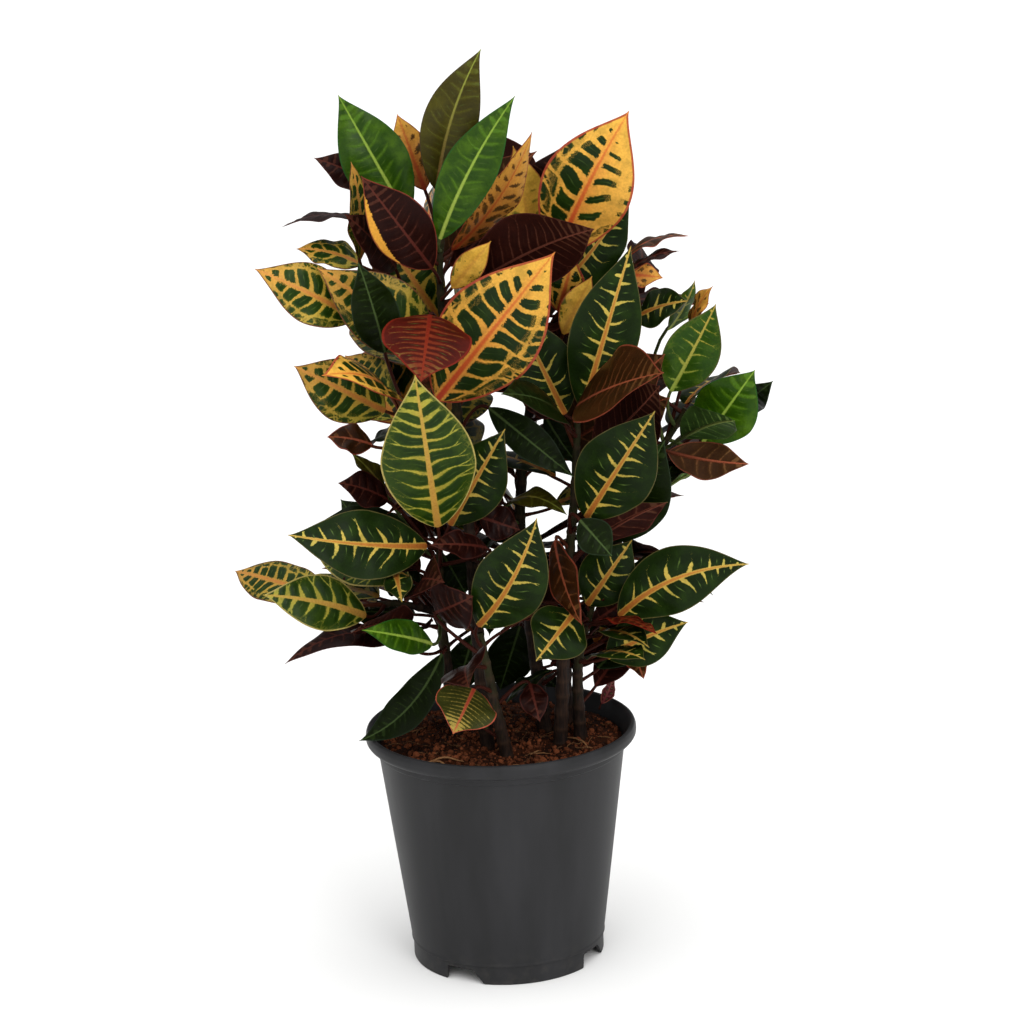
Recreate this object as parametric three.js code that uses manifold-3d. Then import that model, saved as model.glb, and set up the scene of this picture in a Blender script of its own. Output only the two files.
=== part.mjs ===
// Potted croton: a plain grow pot filled with soil, and seven leafy stems that stand in holes in it.
// Millimetres, +Z up. The origin is at the middle of the pot's foot, on the surface it stands on.
// The plant is seen from -Y in the photograph: its front faces -Y and its right is +X.

import * as THREE from 'three';
import { mergeVertices } from 'three/addons/utils/BufferGeometryUtils.js';
import Module from 'manifold-3d';

const wasm = await Module();
wasm.setup();

// ---------------------------------------------------------------- driving dimensions

const DEG = Math.PI / 180;
const GAP = 0.3; // between neighbouring pieces

const POT = {
  sides: 36,
  height: 187,
  footRadius: 75,
  footHeight: 15, // the ledge line above the foot ring
  footWall: 3,
  ledge: 0.8, // the wall stands out this far over the foot ring
  wallTopRadius: 95.6,
  wallTopHeight: 168.5,
  wall: 2,
  collarRadius: 97.6, // lower corner of the rim band
  rimRadius: 105, // widest line of the rim
  rimHeight: 183,
  floorUnder: 12,
  floorTop: 14.2,
};

const NOTCH = {
  count: 4, azimuth: -29.5 * DEG, halfWidth: 14, slant: 3, height: 11.4, inside: 64, depth: 18,
};
const DRAIN = { radius: 4.5, reach: 58, sides: 10 };

const SOIL = { top: 173, mound: 4, relief: 1.5, rings: 5 };

const STEM = {
  sides: 8,
  branchSides: 6,
  buried: 48, // below the soil
  straight: 9, // upright above the soil, clear of the hole's edge
  baseRadius: 6,
  topRadius: 2.3,
  branchBase: 3.4,
  branchTop: 2.1,
  ringStep: 40,
  branchStep: 20,
  holeSides: 12,
  holeRoom: 0.75,
};

const LEAF = {
  thickness: 0.9,
  midrib: 0.9, // extra thickness under the heel
  petioleRadius: 1.35,
  heelHalfWidth: 2,
  clear: 1.1, // room kept round a blade
};

// ---------------------------------------------------------------- the view of the front leaves

// A pinhole camera before the plant. A place in it is [across, down, depth]: across and down in
// pixels of the square photograph, 1024 to a side, and depth in millimetres behind the pot's axis.
const VIEW = {
  eye: new THREE.Vector3(0, -2006, 853),
  focal: 2715,
  centre: 512,
  pitch: 13.955 * DEG,
  yaw: 0.417 * DEG,
  roll: -2.051 * DEG,
};

function viewAxes() {
  const { pitch, yaw, roll } = VIEW;
  const ahead = new THREE.Vector3(
    Math.sin(yaw) * Math.cos(pitch), Math.cos(yaw) * Math.cos(pitch), -Math.sin(pitch));
  const level = ahead.clone().cross(new THREE.Vector3(0, 0, 1)).normalize();
  const across = level.clone().applyAxisAngle(ahead, -roll);
  return { ahead, across, up: across.clone().cross(ahead) };
}
const AXES = viewAxes();

// The point that a place in the view stands for.
function place([across, down, depth]) {
  const ray = AXES.ahead.clone()
    .addScaledVector(AXES.across, (across - VIEW.centre) / VIEW.focal)
    .addScaledVector(AXES.up, (VIEW.centre - down) / VIEW.focal);
  return VIEW.eye.clone().addScaledVector(ray, (depth - VIEW.eye.y) / ray.y);
}

// Where a point shows in the view, as [across, down].
function seen(point) {
  const ray = point.clone().sub(VIEW.eye);
  const scale = VIEW.focal / ray.dot(AXES.ahead);
  return [VIEW.centre + ray.dot(AXES.across) * scale, VIEW.centre - ray.dot(AXES.up) * scale];
}

// ---------------------------------------------------------------- stems and their front leaves

// Each stem has its trunk from the soil up, its branches, the large leaves that show from the
// front, and a number of further leaves that grow round the back and sides by a rule.
// Widths are in millimetres; roll, fold and twist in degrees; arch and sweep as parts of the length.
const STEMS = [
  {
    name: 'stem_tall_left', colour: 0x4a5a1f, seed: 11, outward: 125,
    trunk: [[488, 752, -25], [478, 640, -22], [470, 540, -16], [456, 400, -8], [441, 300, -4],
      [441, 228, -4]],
    branches: [
      { at: 0.5, to: [[424, 440, -20], [394, 408, -28]], more: 4 },
      { at: 0.72, to: [[408, 300, 6], [372, 262, 10]], more: 6 },
    ],
    more: 16, from: 0.36,
    leaves: [
      { tip: [555, 252, -84], heel: [437, 400, -52], width: 76, arch: 0.04, fold: 8 },
      { tip: [421, 382, -142], heel: [430, 315, -62], width: 66, arch: 0.05, fold: 12 },
      { tip: [515, 96, -44], heel: [440, 239, -26], width: 41, arch: 0.03, fold: 18, roll: 8, sweep: -0.04 },
      { tip: [361, 176, -66], heel: [432, 268, -30], width: 46, arch: 0.04, fold: 18 },
      { tip: [481, 49, -18], heel: [437, 190, -10], width: 43, arch: 0.03, fold: 20, sweep: -0.05 },
      { tip: [338, 95, -12], heel: [407, 217, -2], width: 50, arch: 0.04, fold: 12 },
      { tip: [358, 262, -84], heel: [385, 352, -50], width: 37, arch: 0.05, fold: 16, roll: 12 },
      { tip: [255, 269, -52], heel: [356, 318, -26], width: 46, arch: 0.06, fold: 14, roll: 14 },
      { tip: [294, 366, -62], heel: [385, 411, -40], width: 48, arch: 0.04, fold: 12 },
      { tip: [370, 215, -28], heel: [439, 318, -20], width: 50, arch: 0.04, fold: 10 },
      { tip: [532, 132, -16], heel: [452, 250, -12], width: 46, arch: 0.08, fold: 12, roll: 56 },
      { tip: [397, 114, 26], heel: [425, 190, 14], width: 30, arch: 0.05, fold: 12 },
      { tip: [314, 158, 6], heel: [385, 190, 6], width: 32, arch: 0.06, fold: 14, roll: 30 },
      { tip: [351, 162, -36], heel: [361, 259, -18], width: 38, arch: 0.04, fold: 10, roll: 62 },
      { tip: [296, 249, -6], heel: [362, 265, -10], width: 40, arch: 0.08, fold: 10, roll: 58 },
      { tip: [282, 227, 6], heel: [360, 219, 4], width: 40, arch: 0.1, fold: 8, roll: 82 },
      { tip: [327, 437, -20], heel: [372, 445, -14], width: 30, arch: 0.08, fold: 12, roll: 40 },
      { tip: [574, 477, -44], heel: [489, 408, -26], width: 28, arch: 0.08, fold: 14 },
      { tip: [491, 241, -34], heel: [452, 288, -22], width: 22, arch: 0.05, fold: 12 },
      { tip: [520, 530, -6], heel: [480, 517, -8], width: 28, arch: 0.08, fold: 12 },
      { tip: [456, 692, 30], heel: [474, 634, 6], width: 30, arch: 0.08, fold: 12 },
    ],
  },
  {
    name: 'stem_upper_right', colour: 0x6a5a20, seed: 23, outward: 70,
    trunk: [[545, 725, 12], [528, 600, 24], [520, 520, 34], [530, 400, 40], [548, 262, 38]],
    branches: [{ at: 0.72, to: [[590, 330, 34], [626, 296, 26]], more: 6 }],
    more: 18, from: 0.3,
    leaves: [
      { tip: [629, 111, -20], heel: [557, 254, 8], width: 69, arch: 0.04, fold: 8, sweep: -0.02 },
      { tip: [513, 146, 0], heel: [532, 252, 16], width: 40, arch: 0.05, fold: 16, roll: 16 },
      { tip: [564, 145, 44], heel: [545, 232, 36], width: 56, arch: 0.05, fold: 10 },
      { tip: [574, 254, -14], heel: [559, 312, 6], width: 30, arch: 0.06, fold: 12 },
      { tip: [689, 236, 12], heel: [624, 258, 10], width: 34, arch: 0.12, fold: 8, roll: -80 },
      { tip: [680, 251, -14], heel: [626, 274, -2], width: 28, arch: 0.1, fold: 8, roll: -76 },
      { tip: [663, 278, -30], heel: [628, 276, -14], width: 20, arch: 0.06, fold: 12, roll: -30 },
      { tip: [688, 301, -6], heel: [636, 318, 14], width: 38, arch: 0.08, fold: 12, roll: -44 },
      { tip: [579, 465, 6], heel: [545, 415, 4], width: 20, arch: 0.08, fold: 14, roll: 20 },
      { tip: [567, 515, -36], heel: [506, 504, -8], width: 27, arch: 0.2, fold: 10, roll: -56 },
      { tip: [506, 703, -30], heel: [552, 670, -14], width: 24, arch: 0.08, fold: 12, roll: 66 },
      { tip: [500, 690, 66], heel: [520, 626, 46], width: 38, arch: 0.06, fold: 12 },
    ],
  },
  {
    name: 'stem_right', colour: 0x35501c, seed: 37, outward: 30,
    trunk: [[566, 712, 30], [568, 650, 30], [604, 572, 26], [648, 474, 18], [686, 408, 14]],
    branches: [{ at: 0.76, to: [[690, 452, 34], [722, 424, 40]], more: 6 }],
    more: 17, from: 0.34,
    leaves: [
      { tip: [755, 370, -16], heel: [703, 442, 2], width: 50, arch: 0.05, fold: 12 },
      { tip: [716, 304, -30], heel: [671, 391, -10], width: 44, arch: 0.05, fold: 18, roll: 10 },
      { tip: [665, 440, -48], heel: [612, 541, -20], width: 54, arch: 0.05, fold: 10 },
      { tip: [749, 464, -46], heel: [668, 452, -22], width: 34, arch: 0.06, fold: 10, roll: 150 },
      { tip: [773, 381, -66], heel: [736, 406, 4], width: 27, arch: 0.06, fold: 12, roll: 14 },
      { tip: [713, 286, -2], heel: [690, 334, 10], width: 34, arch: 0.08, fold: 10, roll: -70 },
      { tip: [695, 280, 16], heel: [668, 330, 14], width: 22, arch: 0.06, fold: 12, roll: 56 },
    ],
  },
  {
    name: 'stem_middle_right', colour: 0x2f4a1b, seed: 41, outward: 60,
    trunk: [[560, 738, -22], [566, 600, -26], [574, 500, -26], [578, 412, -22]],
    branches: [],
    more: 10, from: 0.34,
    leaves: [
      { tip: [655, 411, -112], heel: [586, 518, -58], width: 59, arch: 0.04, fold: 8 },
      { tip: [631, 246, -60], heel: [583, 409, -34], width: 52, arch: 0.03, fold: 12 },
      { tip: [515, 312, -34], heel: [565, 414, -26], width: 50, arch: 0.04, fold: 12 },
      { tip: [592, 276, -16], heel: [563, 334, -16], width: 24, arch: 0.05, fold: 12 },
      { tip: [665, 354, -62], heel: [585, 414, -32], width: 52, arch: 0.06, fold: 10, roll: 146 },
      { tip: [582, 625, -74], heel: [555, 540, -42], width: 32, arch: 0.06, fold: 10, roll: 46 },
      { tip: [612, 556, -30], heel: [580, 520, -24], width: 28, arch: 0.08, fold: 12 },
    ],
  },
  {
    name: 'stem_low_left', colour: 0x4b5a22, seed: 53, outward: 165,
    trunk: [[458, 735, 8], [446, 660, 0], [440, 600, -14], [440, 535, -24]],
    branches: [{ at: 0.6, to: [[400, 604, -26], [368, 606, -32]], more: 5 }],
    more: 12, from: 0.36,
    leaves: [
      { tip: [415, 375, -150], heel: [438, 527, -74], width: 69, arch: 0.04, fold: 8 },
      { tip: [505, 429, -76], heel: [450, 525, -44], width: 48, arch: 0.04, fold: 10 },
      { tip: [288, 535, -104], heel: [427, 546, -62], width: 52, arch: 0.05, fold: 8, roll: 8, sweep: -0.03 },
      { tip: [263, 595, -92], heel: [366, 616, -56], width: 42, arch: 0.05, fold: 10, roll: 8, sweep: 0.03 },
      { tip: [235, 571, 72], heel: [334, 601, -34], width: 40, arch: 0.06, fold: 10, roll: 28, sweep: -0.02 },
      { tip: [285, 664, -58], heel: [418, 650, -24], width: 42, arch: 0.19, fold: 6, roll: 64 },
      { tip: [362, 630, -112], heel: [432, 644, -60], width: 27, arch: 0.06, fold: 14, roll: 16 },
      { tip: [338, 483, -34], heel: [388, 500, -24], width: 34, arch: 0.08, fold: 12, roll: 40 },
      { tip: [352, 454, -6], heel: [384, 490, -10], width: 20, arch: 0.06, fold: 14, roll: 46 },
      { tip: [402, 602, -116], heel: [396, 574, -74], width: 22, arch: 0.06, fold: 12 },
      { tip: [430, 545, -84], heel: [487, 548, -56], width: 24, arch: 0.06, fold: 12, roll: 30 },
      { tip: [466, 594, -46], heel: [444, 556, -34], width: 32, arch: 0.08, fold: 12 },
      { tip: [359, 741, -30], heel: [442, 654, -30], width: 31, arch: 0.08, fold: 12, roll: 16, sweep: -0.13 },
    ],
  },
  {
    name: 'stem_low_right', colour: 0x3a4d1d, seed: 67, outward: 10,
    trunk: [[580, 722, -8], [578, 668, -12], [592, 606, -18]],
    branches: [],
    more: 9, from: 0.36,
    leaves: [
      { tip: [749, 564, -72], heel: [619, 616, -36], width: 50, arch: 0.05, fold: 8, sweep: -0.09 },
      { tip: [536, 661, -108], heel: [575, 612, -56], width: 47, arch: 0.05, fold: 10 },
      { tip: [632, 540, -34], heel: [587, 605, -22], width: 44, arch: 0.04, fold: 10 },
      { tip: [688, 622, -46], heel: [607, 657, -24], width: 42, arch: 0.05, fold: 10, sweep: -0.03 },
      { tip: [657, 634, -84], heel: [600, 620, -46], width: 28, arch: 0.1, fold: 8, roll: -76 },
      { tip: [644, 679, -22], heel: [634, 640, -12], width: 22, arch: 0.06, fold: 12, roll: 36 },
    ],
  },
  {
    name: 'stem_short_front', colour: 0x5a4a20, seed: 71, outward: 90,
    trunk: [[508, 757, -48], [492, 690, -52], [480, 632, -54]],
    branches: [],
    more: 4, from: 0.5,
    leaves: [
      { tip: [537, 518, -128], heel: [478, 626, -76], width: 54, arch: 0.04, fold: 10, sweep: 0.05 },
      { tip: [453, 734, -136], heel: [474, 689, -82], width: 48, arch: 0.05, fold: 12 },
      { tip: [473, 596, -96], heel: [436, 612, -66], width: 42, arch: 0.06, fold: 10, roll: 14 },
      { tip: [540, 722, -92], heel: [530, 684, -66], width: 22, arch: 0.06, fold: 14 },
    ],
  },
];

const FRONT_LEAF = { roll: 0, arch: 0.04, fold: 12, twist: 0, sweep: 0, wave: 1.6, cup: 0.16 };

// The photograph's outline of the crown, which no further leaf grows out of, and the small gaps
// that the light shows through, as [across, down, radius].
const CROWN_OUTLINE = [
  [340, 97], [398, 116], [440, 110], [479, 52], [486, 100], [514, 98], [530, 133], [574, 150],
  [628, 113], [640, 178], [630, 240], [686, 238], [664, 284], [716, 290], [718, 345], [752, 372],
  [774, 382], [748, 402], [738, 440], [748, 464], [700, 478], [680, 500], [672, 545], [746, 564],
  [700, 612], [642, 676], [596, 664], [588, 690], [424, 690], [400, 690], [428, 652], [288, 660],
  [330, 632], [240, 572], [326, 574], [290, 536], [334, 515], [340, 483], [366, 470], [330, 437],
  [372, 430], [296, 366], [352, 352], [256, 270], [300, 260], [284, 224], [352, 212], [316, 160],
  [350, 158],
];
const LIGHT_GAPS = [[548, 440, 15], [545, 497, 24], [470, 428, 8], [512, 648, 14]];

// A dead leaf that fell on the soil and leans towards the rim.
const FALLEN = {
  tip: [614, 689, 58], heel: [602, 717, 46], width: 13, roll: 24, arch: 0.1, fold: 16, twist: 30, sweep: 0,
  wave: 0.6, cup: 0.1, phase: 1,
};

// How the further leaves grow.
const GROWTH = {
  golden: 137.50776,
  sector: 210, // degrees round the stem's outward direction
  jitter: 26,
  lowest: 250,
  highest: 700,
  lowPitch: -8,
  highPitch: 60,
  pitchDraw: 22,
  petioleShort: 15,
  petioleDraw: 14,
  petioleLift: 14, // degrees
  lengthShort: 98,
  lengthDraw: 46,
  slender: 0.44, // width as a part of the length
  slenderDraw: 0.1,
  sideways: 76,
  faceOut: 0.75,
  faceUp: 0.55,
  behind: 172, // furthest depth of a tip
  floor: 206, // lowest point of a blade
};
const TURNS = [[0, 0], [14, 0], [-14, 0], [0, 14], [0, -14], [28, 0], [-28, 0], [20, -20], [-20, -20],
  [20, 20], [-20, 20], [44, 0], [-44, 0], [62, 10], [-62, 10], [80, 0], [-80, 0], [100, 5], [-100, 5]];
const SHRINKS = [1, 0.84, 0.68];
const DRAWS = 9; // for each further leaf

// How far a front leaf may slide along the line of sight, and its root along the stem, to come clear.
const SLIDES = [0, -7, 7, -14, 14, -22, 22, -32, 32, -44, 44, -58, 58];
const ROOT_SHIFTS = [0, -16, 14, -34, 30];

// ---------------------------------------------------------------- solids

// A closed mesh as a solid: shared corners merged, flat slivers dropped, faces turned out.
function solid(geometry) {
  const bare = new THREE.BufferGeometry();
  bare.setAttribute('position', geometry.getAttribute('position').clone());
  if (geometry.index) bare.setIndex(geometry.index.clone());
  const merged = mergeVertices(bare, 1e-4);
  const points = merged.getAttribute('position');
  const corners = [];
  let volume = 0;
  const [a, b, c] = [new THREE.Vector3(), new THREE.Vector3(), new THREE.Vector3()];
  for (let i = 0; i < merged.index.count; i += 3) {
    const [p, q, r] = [0, 1, 2].map((k) => merged.index.getX(i + k));
    if (p === q || q === r || r === p) continue;
    corners.push([p, q, r]);
    a.fromBufferAttribute(points, p);
    volume += a.dot(b.fromBufferAttribute(points, q).cross(c.fromBufferAttribute(points, r)));
  }
  const turned = volume < 0 ? corners.map(([p, q, r]) => [p, r, q]) : corners;
  return new wasm.Manifold(new wasm.Mesh({
    numProp: 3,
    vertProperties: new Float32Array(points.array),
    triVerts: new Uint32Array(turned.flat()),
  }));
}

// A named mesh from a solid.
function piece(name, body, colour, roughness) {
  const mesh = body.getMesh();
  const geometry = new THREE.BufferGeometry();
  geometry.setAttribute('position', new THREE.BufferAttribute(mesh.vertProperties, 3));
  geometry.setIndex(new THREE.BufferAttribute(mesh.triVerts, 1));
  geometry.computeVertexNormals();
  const material = new THREE.MeshStandardMaterial({ color: colour, roughness, metalness: 0 });
  const made = new THREE.Mesh(geometry, material);
  made.name = name;
  return made;
}

// A closed skin over rings of points, all of one count, with a flat fan at each end. The second
// half of each ring mirrors the first, so its faces are split along the mirrored diagonals.
function loft(rings) {
  const count = rings[0].length;
  const position = rings.flat().flatMap((p) => [p.x, p.y, p.z]);
  const index = [];
  for (let i = 0; i + 1 < rings.length; i += 1) {
    for (let k = 0; k < count; k += 1) {
      const [a, b] = [i * count + k, i * count + ((k + 1) % count)];
      const [c, d] = [a + count, b + count];
      index.push(...(k < count / 2 ? [a, b, d, a, d, c] : [a, b, c, b, d, c]));
    }
  }
  const last = (rings.length - 1) * count;
  for (let k = 1; k + 1 < count; k += 1) {
    index.push(0, k + 1, k, last, last + k, last + k + 1);
  }
  const geometry = new THREE.BufferGeometry();
  geometry.setAttribute('position', new THREE.Float32BufferAttribute(position, 3));
  geometry.setIndex(index);
  return geometry;
}

// A LatheGeometry turns about +Y, so it is stood up on +Z.
function turned(profile, sides) {
  const outline = profile.map(([radius, height]) => new THREE.Vector2(radius, height));
  return new THREE.LatheGeometry(outline, sides).rotateX(90 * DEG);
}

const meets = (a, b) => !a.intersect(b).isEmpty();

// ---------------------------------------------------------------- pot

const wallSlope = (POT.wallTopRadius - POT.footRadius - POT.ledge) / (POT.wallTopHeight - POT.footHeight);
const wallRadius = (height) => POT.wallTopRadius - (POT.wallTopHeight - height) * wallSlope;
const innerRadius = (height) => wallRadius(height) - POT.wall;

function potSolid() {
  const { collarRadius, rimRadius, rimHeight, height } = POT;
  const body = solid(turned([
    [0, POT.floorUnder],
    [POT.footRadius - POT.footWall + 0.6, POT.floorUnder],
    [POT.footRadius - POT.footWall, 0],
    [POT.footRadius, 0],
    [POT.footRadius + 0.9, POT.footHeight],
    [wallRadius(POT.footHeight + 1.5), POT.footHeight + 1.5],
    [POT.wallTopRadius, POT.wallTopHeight],
    [collarRadius, POT.wallTopHeight + 1.2],
    [collarRadius + 5.2, rimHeight - 7.5],
    [rimRadius, rimHeight],
    [rimRadius - 1.2, height - 0.8],
    [rimRadius - 3.2, height],
    [rimRadius - 5, height - 1.6],
    [innerRadius(POT.wallTopHeight) + 3.2, height - 9],
    [innerRadius(POT.wallTopHeight - 3), POT.wallTopHeight - 3],
    [innerRadius(POT.floorTop), POT.floorTop],
    [0, POT.floorTop],
  ], POT.sides));
  return openings().reduce((whole, cut) => whole.subtract(cut), body);
}

// The notches through the foot ring and the drain holes behind them in the raised floor.
function openings() {
  const { halfWidth, slant, height, inside, depth } = NOTCH;
  const outline = new THREE.Shape([
    new THREE.Vector2(-halfWidth, -2),
    new THREE.Vector2(halfWidth + slant, -2),
    new THREE.Vector2(halfWidth - slant, height - 3),
    new THREE.Vector2(halfWidth - 2 * slant, height),
    new THREE.Vector2(1 - halfWidth, height),
  ]);
  const cuts = [];
  for (let i = 0; i < NOTCH.count; i += 1) {
    const turn = NOTCH.azimuth + (i * 2 * Math.PI) / NOTCH.count;
    const notch = new THREE.ExtrudeGeometry(outline, { depth, bevelEnabled: false });
    cuts.push(solid(notch.rotateX(90 * DEG).translate(0, -inside, 0).rotateZ(turn)));
    const drain = new THREE.CylinderGeometry(DRAIN.radius, DRAIN.radius, 12, DRAIN.sides);
    drain.rotateX(90 * DEG).translate(0, -DRAIN.reach, POT.floorTop);
    cuts.push(solid(drain.rotateZ(turn)));
  }
  return cuts;
}

// ---------------------------------------------------------------- soil

// The soil's surface: a low mound with lumps.
function soilHeight(x, y) {
  const out = Math.hypot(x, y) / innerRadius(SOIL.top);
  const lumps = Math.sin(x / 9.3 + 0.7) * Math.cos(y / 7.9 - 0.4) + 0.6 * Math.sin((x - y) / 5.7);
  return SOIL.top + SOIL.mound * (1 - out * out) + SOIL.relief * lumps * Math.min(1, 4 * (1 - out));
}

function soilSolid(holes) {
  const low = POT.floorTop + GAP;
  const edge = innerRadius(SOIL.top) - GAP;
  const profile = [[0, low], [innerRadius(low) - GAP, low], [edge, SOIL.top]];
  for (let ring = SOIL.rings - 1; ring >= 0; ring -= 1) {
    profile.push([(edge * ring) / SOIL.rings, SOIL.top]);
  }
  const body = turned(profile, POT.sides);
  const points = body.getAttribute('position');
  for (let i = 0; i < points.count; i += 1) {
    if (points.getZ(i) > SOIL.top - 1) points.setZ(i, soilHeight(points.getX(i), points.getY(i)));
  }
  return holes.reduce((whole, hole) => whole.subtract(hole), solid(body));
}

// The plain hole that a stem stands in.
function holeSolid(foot) {
  const radius = STEM.baseRadius + STEM.holeRoom;
  const deep = STEM.buried + GAP;
  const bore = new THREE.CylinderGeometry(radius, radius, 2 * deep, STEM.holeSides);
  return solid(bore.rotateX(90 * DEG).translate(foot.x, foot.y, foot.z));
}

// ---------------------------------------------------------------- stems

// The middle line of a trunk or branch, as evenly numbered points.
function axisPoints(points) {
  const curve = new THREE.CatmullRomCurve3(points, false, 'catmullrom', 0.5);
  return curve.getPoints(24 * (points.length - 1));
}

function rod(points, startRadius, endRadius, sides, step, buried = 0) {
  const rings = [];
  const side = new THREE.Vector3(1, 0, 0);
  const ring = (centre, direction, radius) => {
    side.addScaledVector(direction, -side.dot(direction)).normalize();
    const other = direction.clone().cross(side);
    rings.push(Array.from({ length: sides }, (_, k) => centre.clone()
      .addScaledVector(side, radius * Math.cos((k * 2 * Math.PI) / sides))
      .addScaledVector(other, radius * Math.sin((k * 2 * Math.PI) / sides))));
  };
  const up = new THREE.Vector3(0, 0, 1);
  if (buried) {
    ring(points[0].clone().addScaledVector(up, -buried), up, startRadius);
    ring(points[0].clone().addScaledVector(up, STEM.straight), up, startRadius);
  }
  const total = lengthOf(points);
  let along = 0;
  let next = buried ? step : 0;
  for (let i = 0; i + 1 < points.length; i += 1) {
    const last = i + 2 === points.length;
    if (along >= next || last) {
      const at = last ? points[i + 1] : points[i];
      const direction = points[i + 1].clone().sub(points[i]).normalize();
      const done = last ? 1 : along / total;
      ring(at, direction, THREE.MathUtils.lerp(startRadius, endRadius, done));
      next = along + step;
    }
    along += points[i].distanceTo(points[i + 1]);
  }
  return solid(loft(rings));
}

function lengthOf(points) {
  return points.slice(1).reduce((sum, p, i) => sum + p.distanceTo(points[i]), 0);
}

// The trunk and branches of a stem: their middle lines and their solid.
function frameOf(stem) {
  const foot = place(stem.trunk[0]).setZ(SOIL.top);
  const trunk = axisPoints([foot, ...stem.trunk.slice(1).map(place)]);
  const axes = [{ points: trunk, more: stem.more, from: stem.from }];
  let wood = rod(trunk, STEM.baseRadius, STEM.topRadius, STEM.sides, STEM.ringStep, STEM.buried);
  for (const branch of stem.branches) {
    const start = trunk[Math.round(branch.at * (trunk.length - 1))];
    const points = axisPoints([start, ...branch.to.map(place)]);
    axes.push({ points, more: branch.more, from: 0.3 });
    const { branchBase, branchTop, branchSides, branchStep } = STEM;
    wood = wood.add(rod(points, branchBase, branchTop, branchSides, branchStep));
  }
  return { foot, axes, wood };
}

// The place on a stem that a leaf with this heel grows from: the nearest one, then a little lower.
function rootFor(axes, heel, shift) {
  let best = { distance: Infinity };
  axes.forEach(({ points }, axis) => points.forEach((point, index) => {
    const distance = point.distanceTo(heel);
    if (distance < best.distance) best = { distance, axis, index };
  }));
  const { points } = axes[best.axis];
  let [index, back] = [best.index, 0.5 * best.distance + shift];
  for (; index > 1 && back > 0; index -= 1) back -= points[index].distanceTo(points[index - 1]);
  for (; index + 1 < points.length && back < -3; index += 1) {
    back += points[index].distanceTo(points[index + 1]);
  }
  return points[index];
}

// ---------------------------------------------------------------- leaves

// The frame that a blade is drawn in, from its heel, its tip and the way that its face looks.
function leafFrame(leaf) {
  const chord = leaf.tip.clone().sub(leaf.heel);
  const length = chord.length();
  const along = chord.clone().divideScalar(length);
  const face = leaf.face.clone().addScaledVector(along, -leaf.face.dot(along)).normalize()
    .applyAxisAngle(along, leaf.roll * DEG);
  return { ...leaf, length, chord, face, side: along.clone().cross(face) };
}

// The middle line of a blade at t, from 0 at the heel to 1 at the tip, with its side and up axes.
function midline(leaf, t) {
  const [rise, slope] = [4 * t * (1 - t) * leaf.length, 4 * (1 - 2 * t) * leaf.length];
  const point = leaf.heel.clone().addScaledVector(leaf.chord, t)
    .addScaledVector(leaf.face, leaf.arch * rise).addScaledVector(leaf.side, leaf.sweep * rise);
  const tangent = leaf.chord.clone().addScaledVector(leaf.face, leaf.arch * slope)
    .addScaledVector(leaf.side, leaf.sweep * slope).normalize();
  const flat = leaf.face.clone().addScaledVector(tangent, -leaf.face.dot(tangent)).normalize();
  const up = flat.applyAxisAngle(tangent, leaf.twist * t * DEG);
  return { point, tangent, up, across: tangent.clone().cross(up) };
}

// Half the width of a blade: a rounded heel, widest a little below the middle, a sharp tip.
function halfWidth(leaf, t) {
  return (leaf.width / 2) * Math.sin(Math.PI * t ** 0.9) ** (0.75 + 0.45 * t);
}

// The edge of a blade waves up and down; the two edges are out of step.
function waveAt(leaf, t, v) {
  return leaf.wave * Math.sin(4 * Math.PI * t + leaf.phase + (v > 0 ? 1.9 : 0)) * Math.sin(Math.PI * t);
}

// The six corners of a blade's section at t; `room` swells it on every side.
function bladeRing(leaf, t, room) {
  const { point, up, across } = midline(leaf, t);
  const half = Math.max(t < 1 ? halfWidth(leaf, t) : 0, t > 0.5 ? 0 : LEAF.heelHalfWidth);
  const thick = LEAF.thickness / 2 + room;
  const fold = leaf.fold * DEG;
  const at = (v, depth) => {
    const lift = Math.abs(v) * (half * (Math.sin(fold) - leaf.cup) + waveAt(leaf, t, v));
    return point.clone()
      .addScaledVector(across, v * (half * Math.cos(fold) + (t < 1 ? room : 0)))
      .addScaledVector(up, lift + depth);
  };
  const rib = t < 1 ? LEAF.midrib * (1 - t) : 0;
  return [at(-1, thick), at(0, thick), at(1, thick), at(1, -thick), at(0, -thick - rib), at(-1, -thick)];
}

function petioleRing(centre, direction, face, radius) {
  const up = face.clone().addScaledVector(direction, -face.dot(direction)).normalize();
  const across = direction.clone().cross(up);
  return [150, 90, 30, -30, -90, -150].map((turn) => centre.clone()
    .addScaledVector(across, radius * Math.cos(turn * DEG))
    .addScaledVector(up, radius * Math.sin(turn * DEG)));
}

const STATIONS = { front: [0, 0.2, 0.42, 0.64, 0.84, 1], more: [0, 0.24, 0.52, 0.8, 1] };

// The petiole leaves the stem and bends into the line of the midrib.
function petioleLine(leaf) {
  const { tangent } = midline(leaf, 0);
  const bend = leaf.heel.clone().addScaledVector(tangent, -0.4 * leaf.heel.distanceTo(leaf.root));
  const leaving = bend.clone().sub(leaf.root).normalize();
  return { bend, leaving, turning: leaving.clone().add(tangent).normalize(), tangent };
}

function leafSolid(leaf) {
  const { bend, leaving, turning } = petioleLine(leaf);
  const rings = [petioleRing(leaf.root, leaving, leaf.face, LEAF.petioleRadius)];
  if (leaf.kind === 'front') rings.push(petioleRing(bend, turning, leaf.face, LEAF.petioleRadius));
  STATIONS[leaf.kind].forEach((t) => rings.push(bladeRing(leaf, t, 0)));
  return solid(loft(rings));
}

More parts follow.
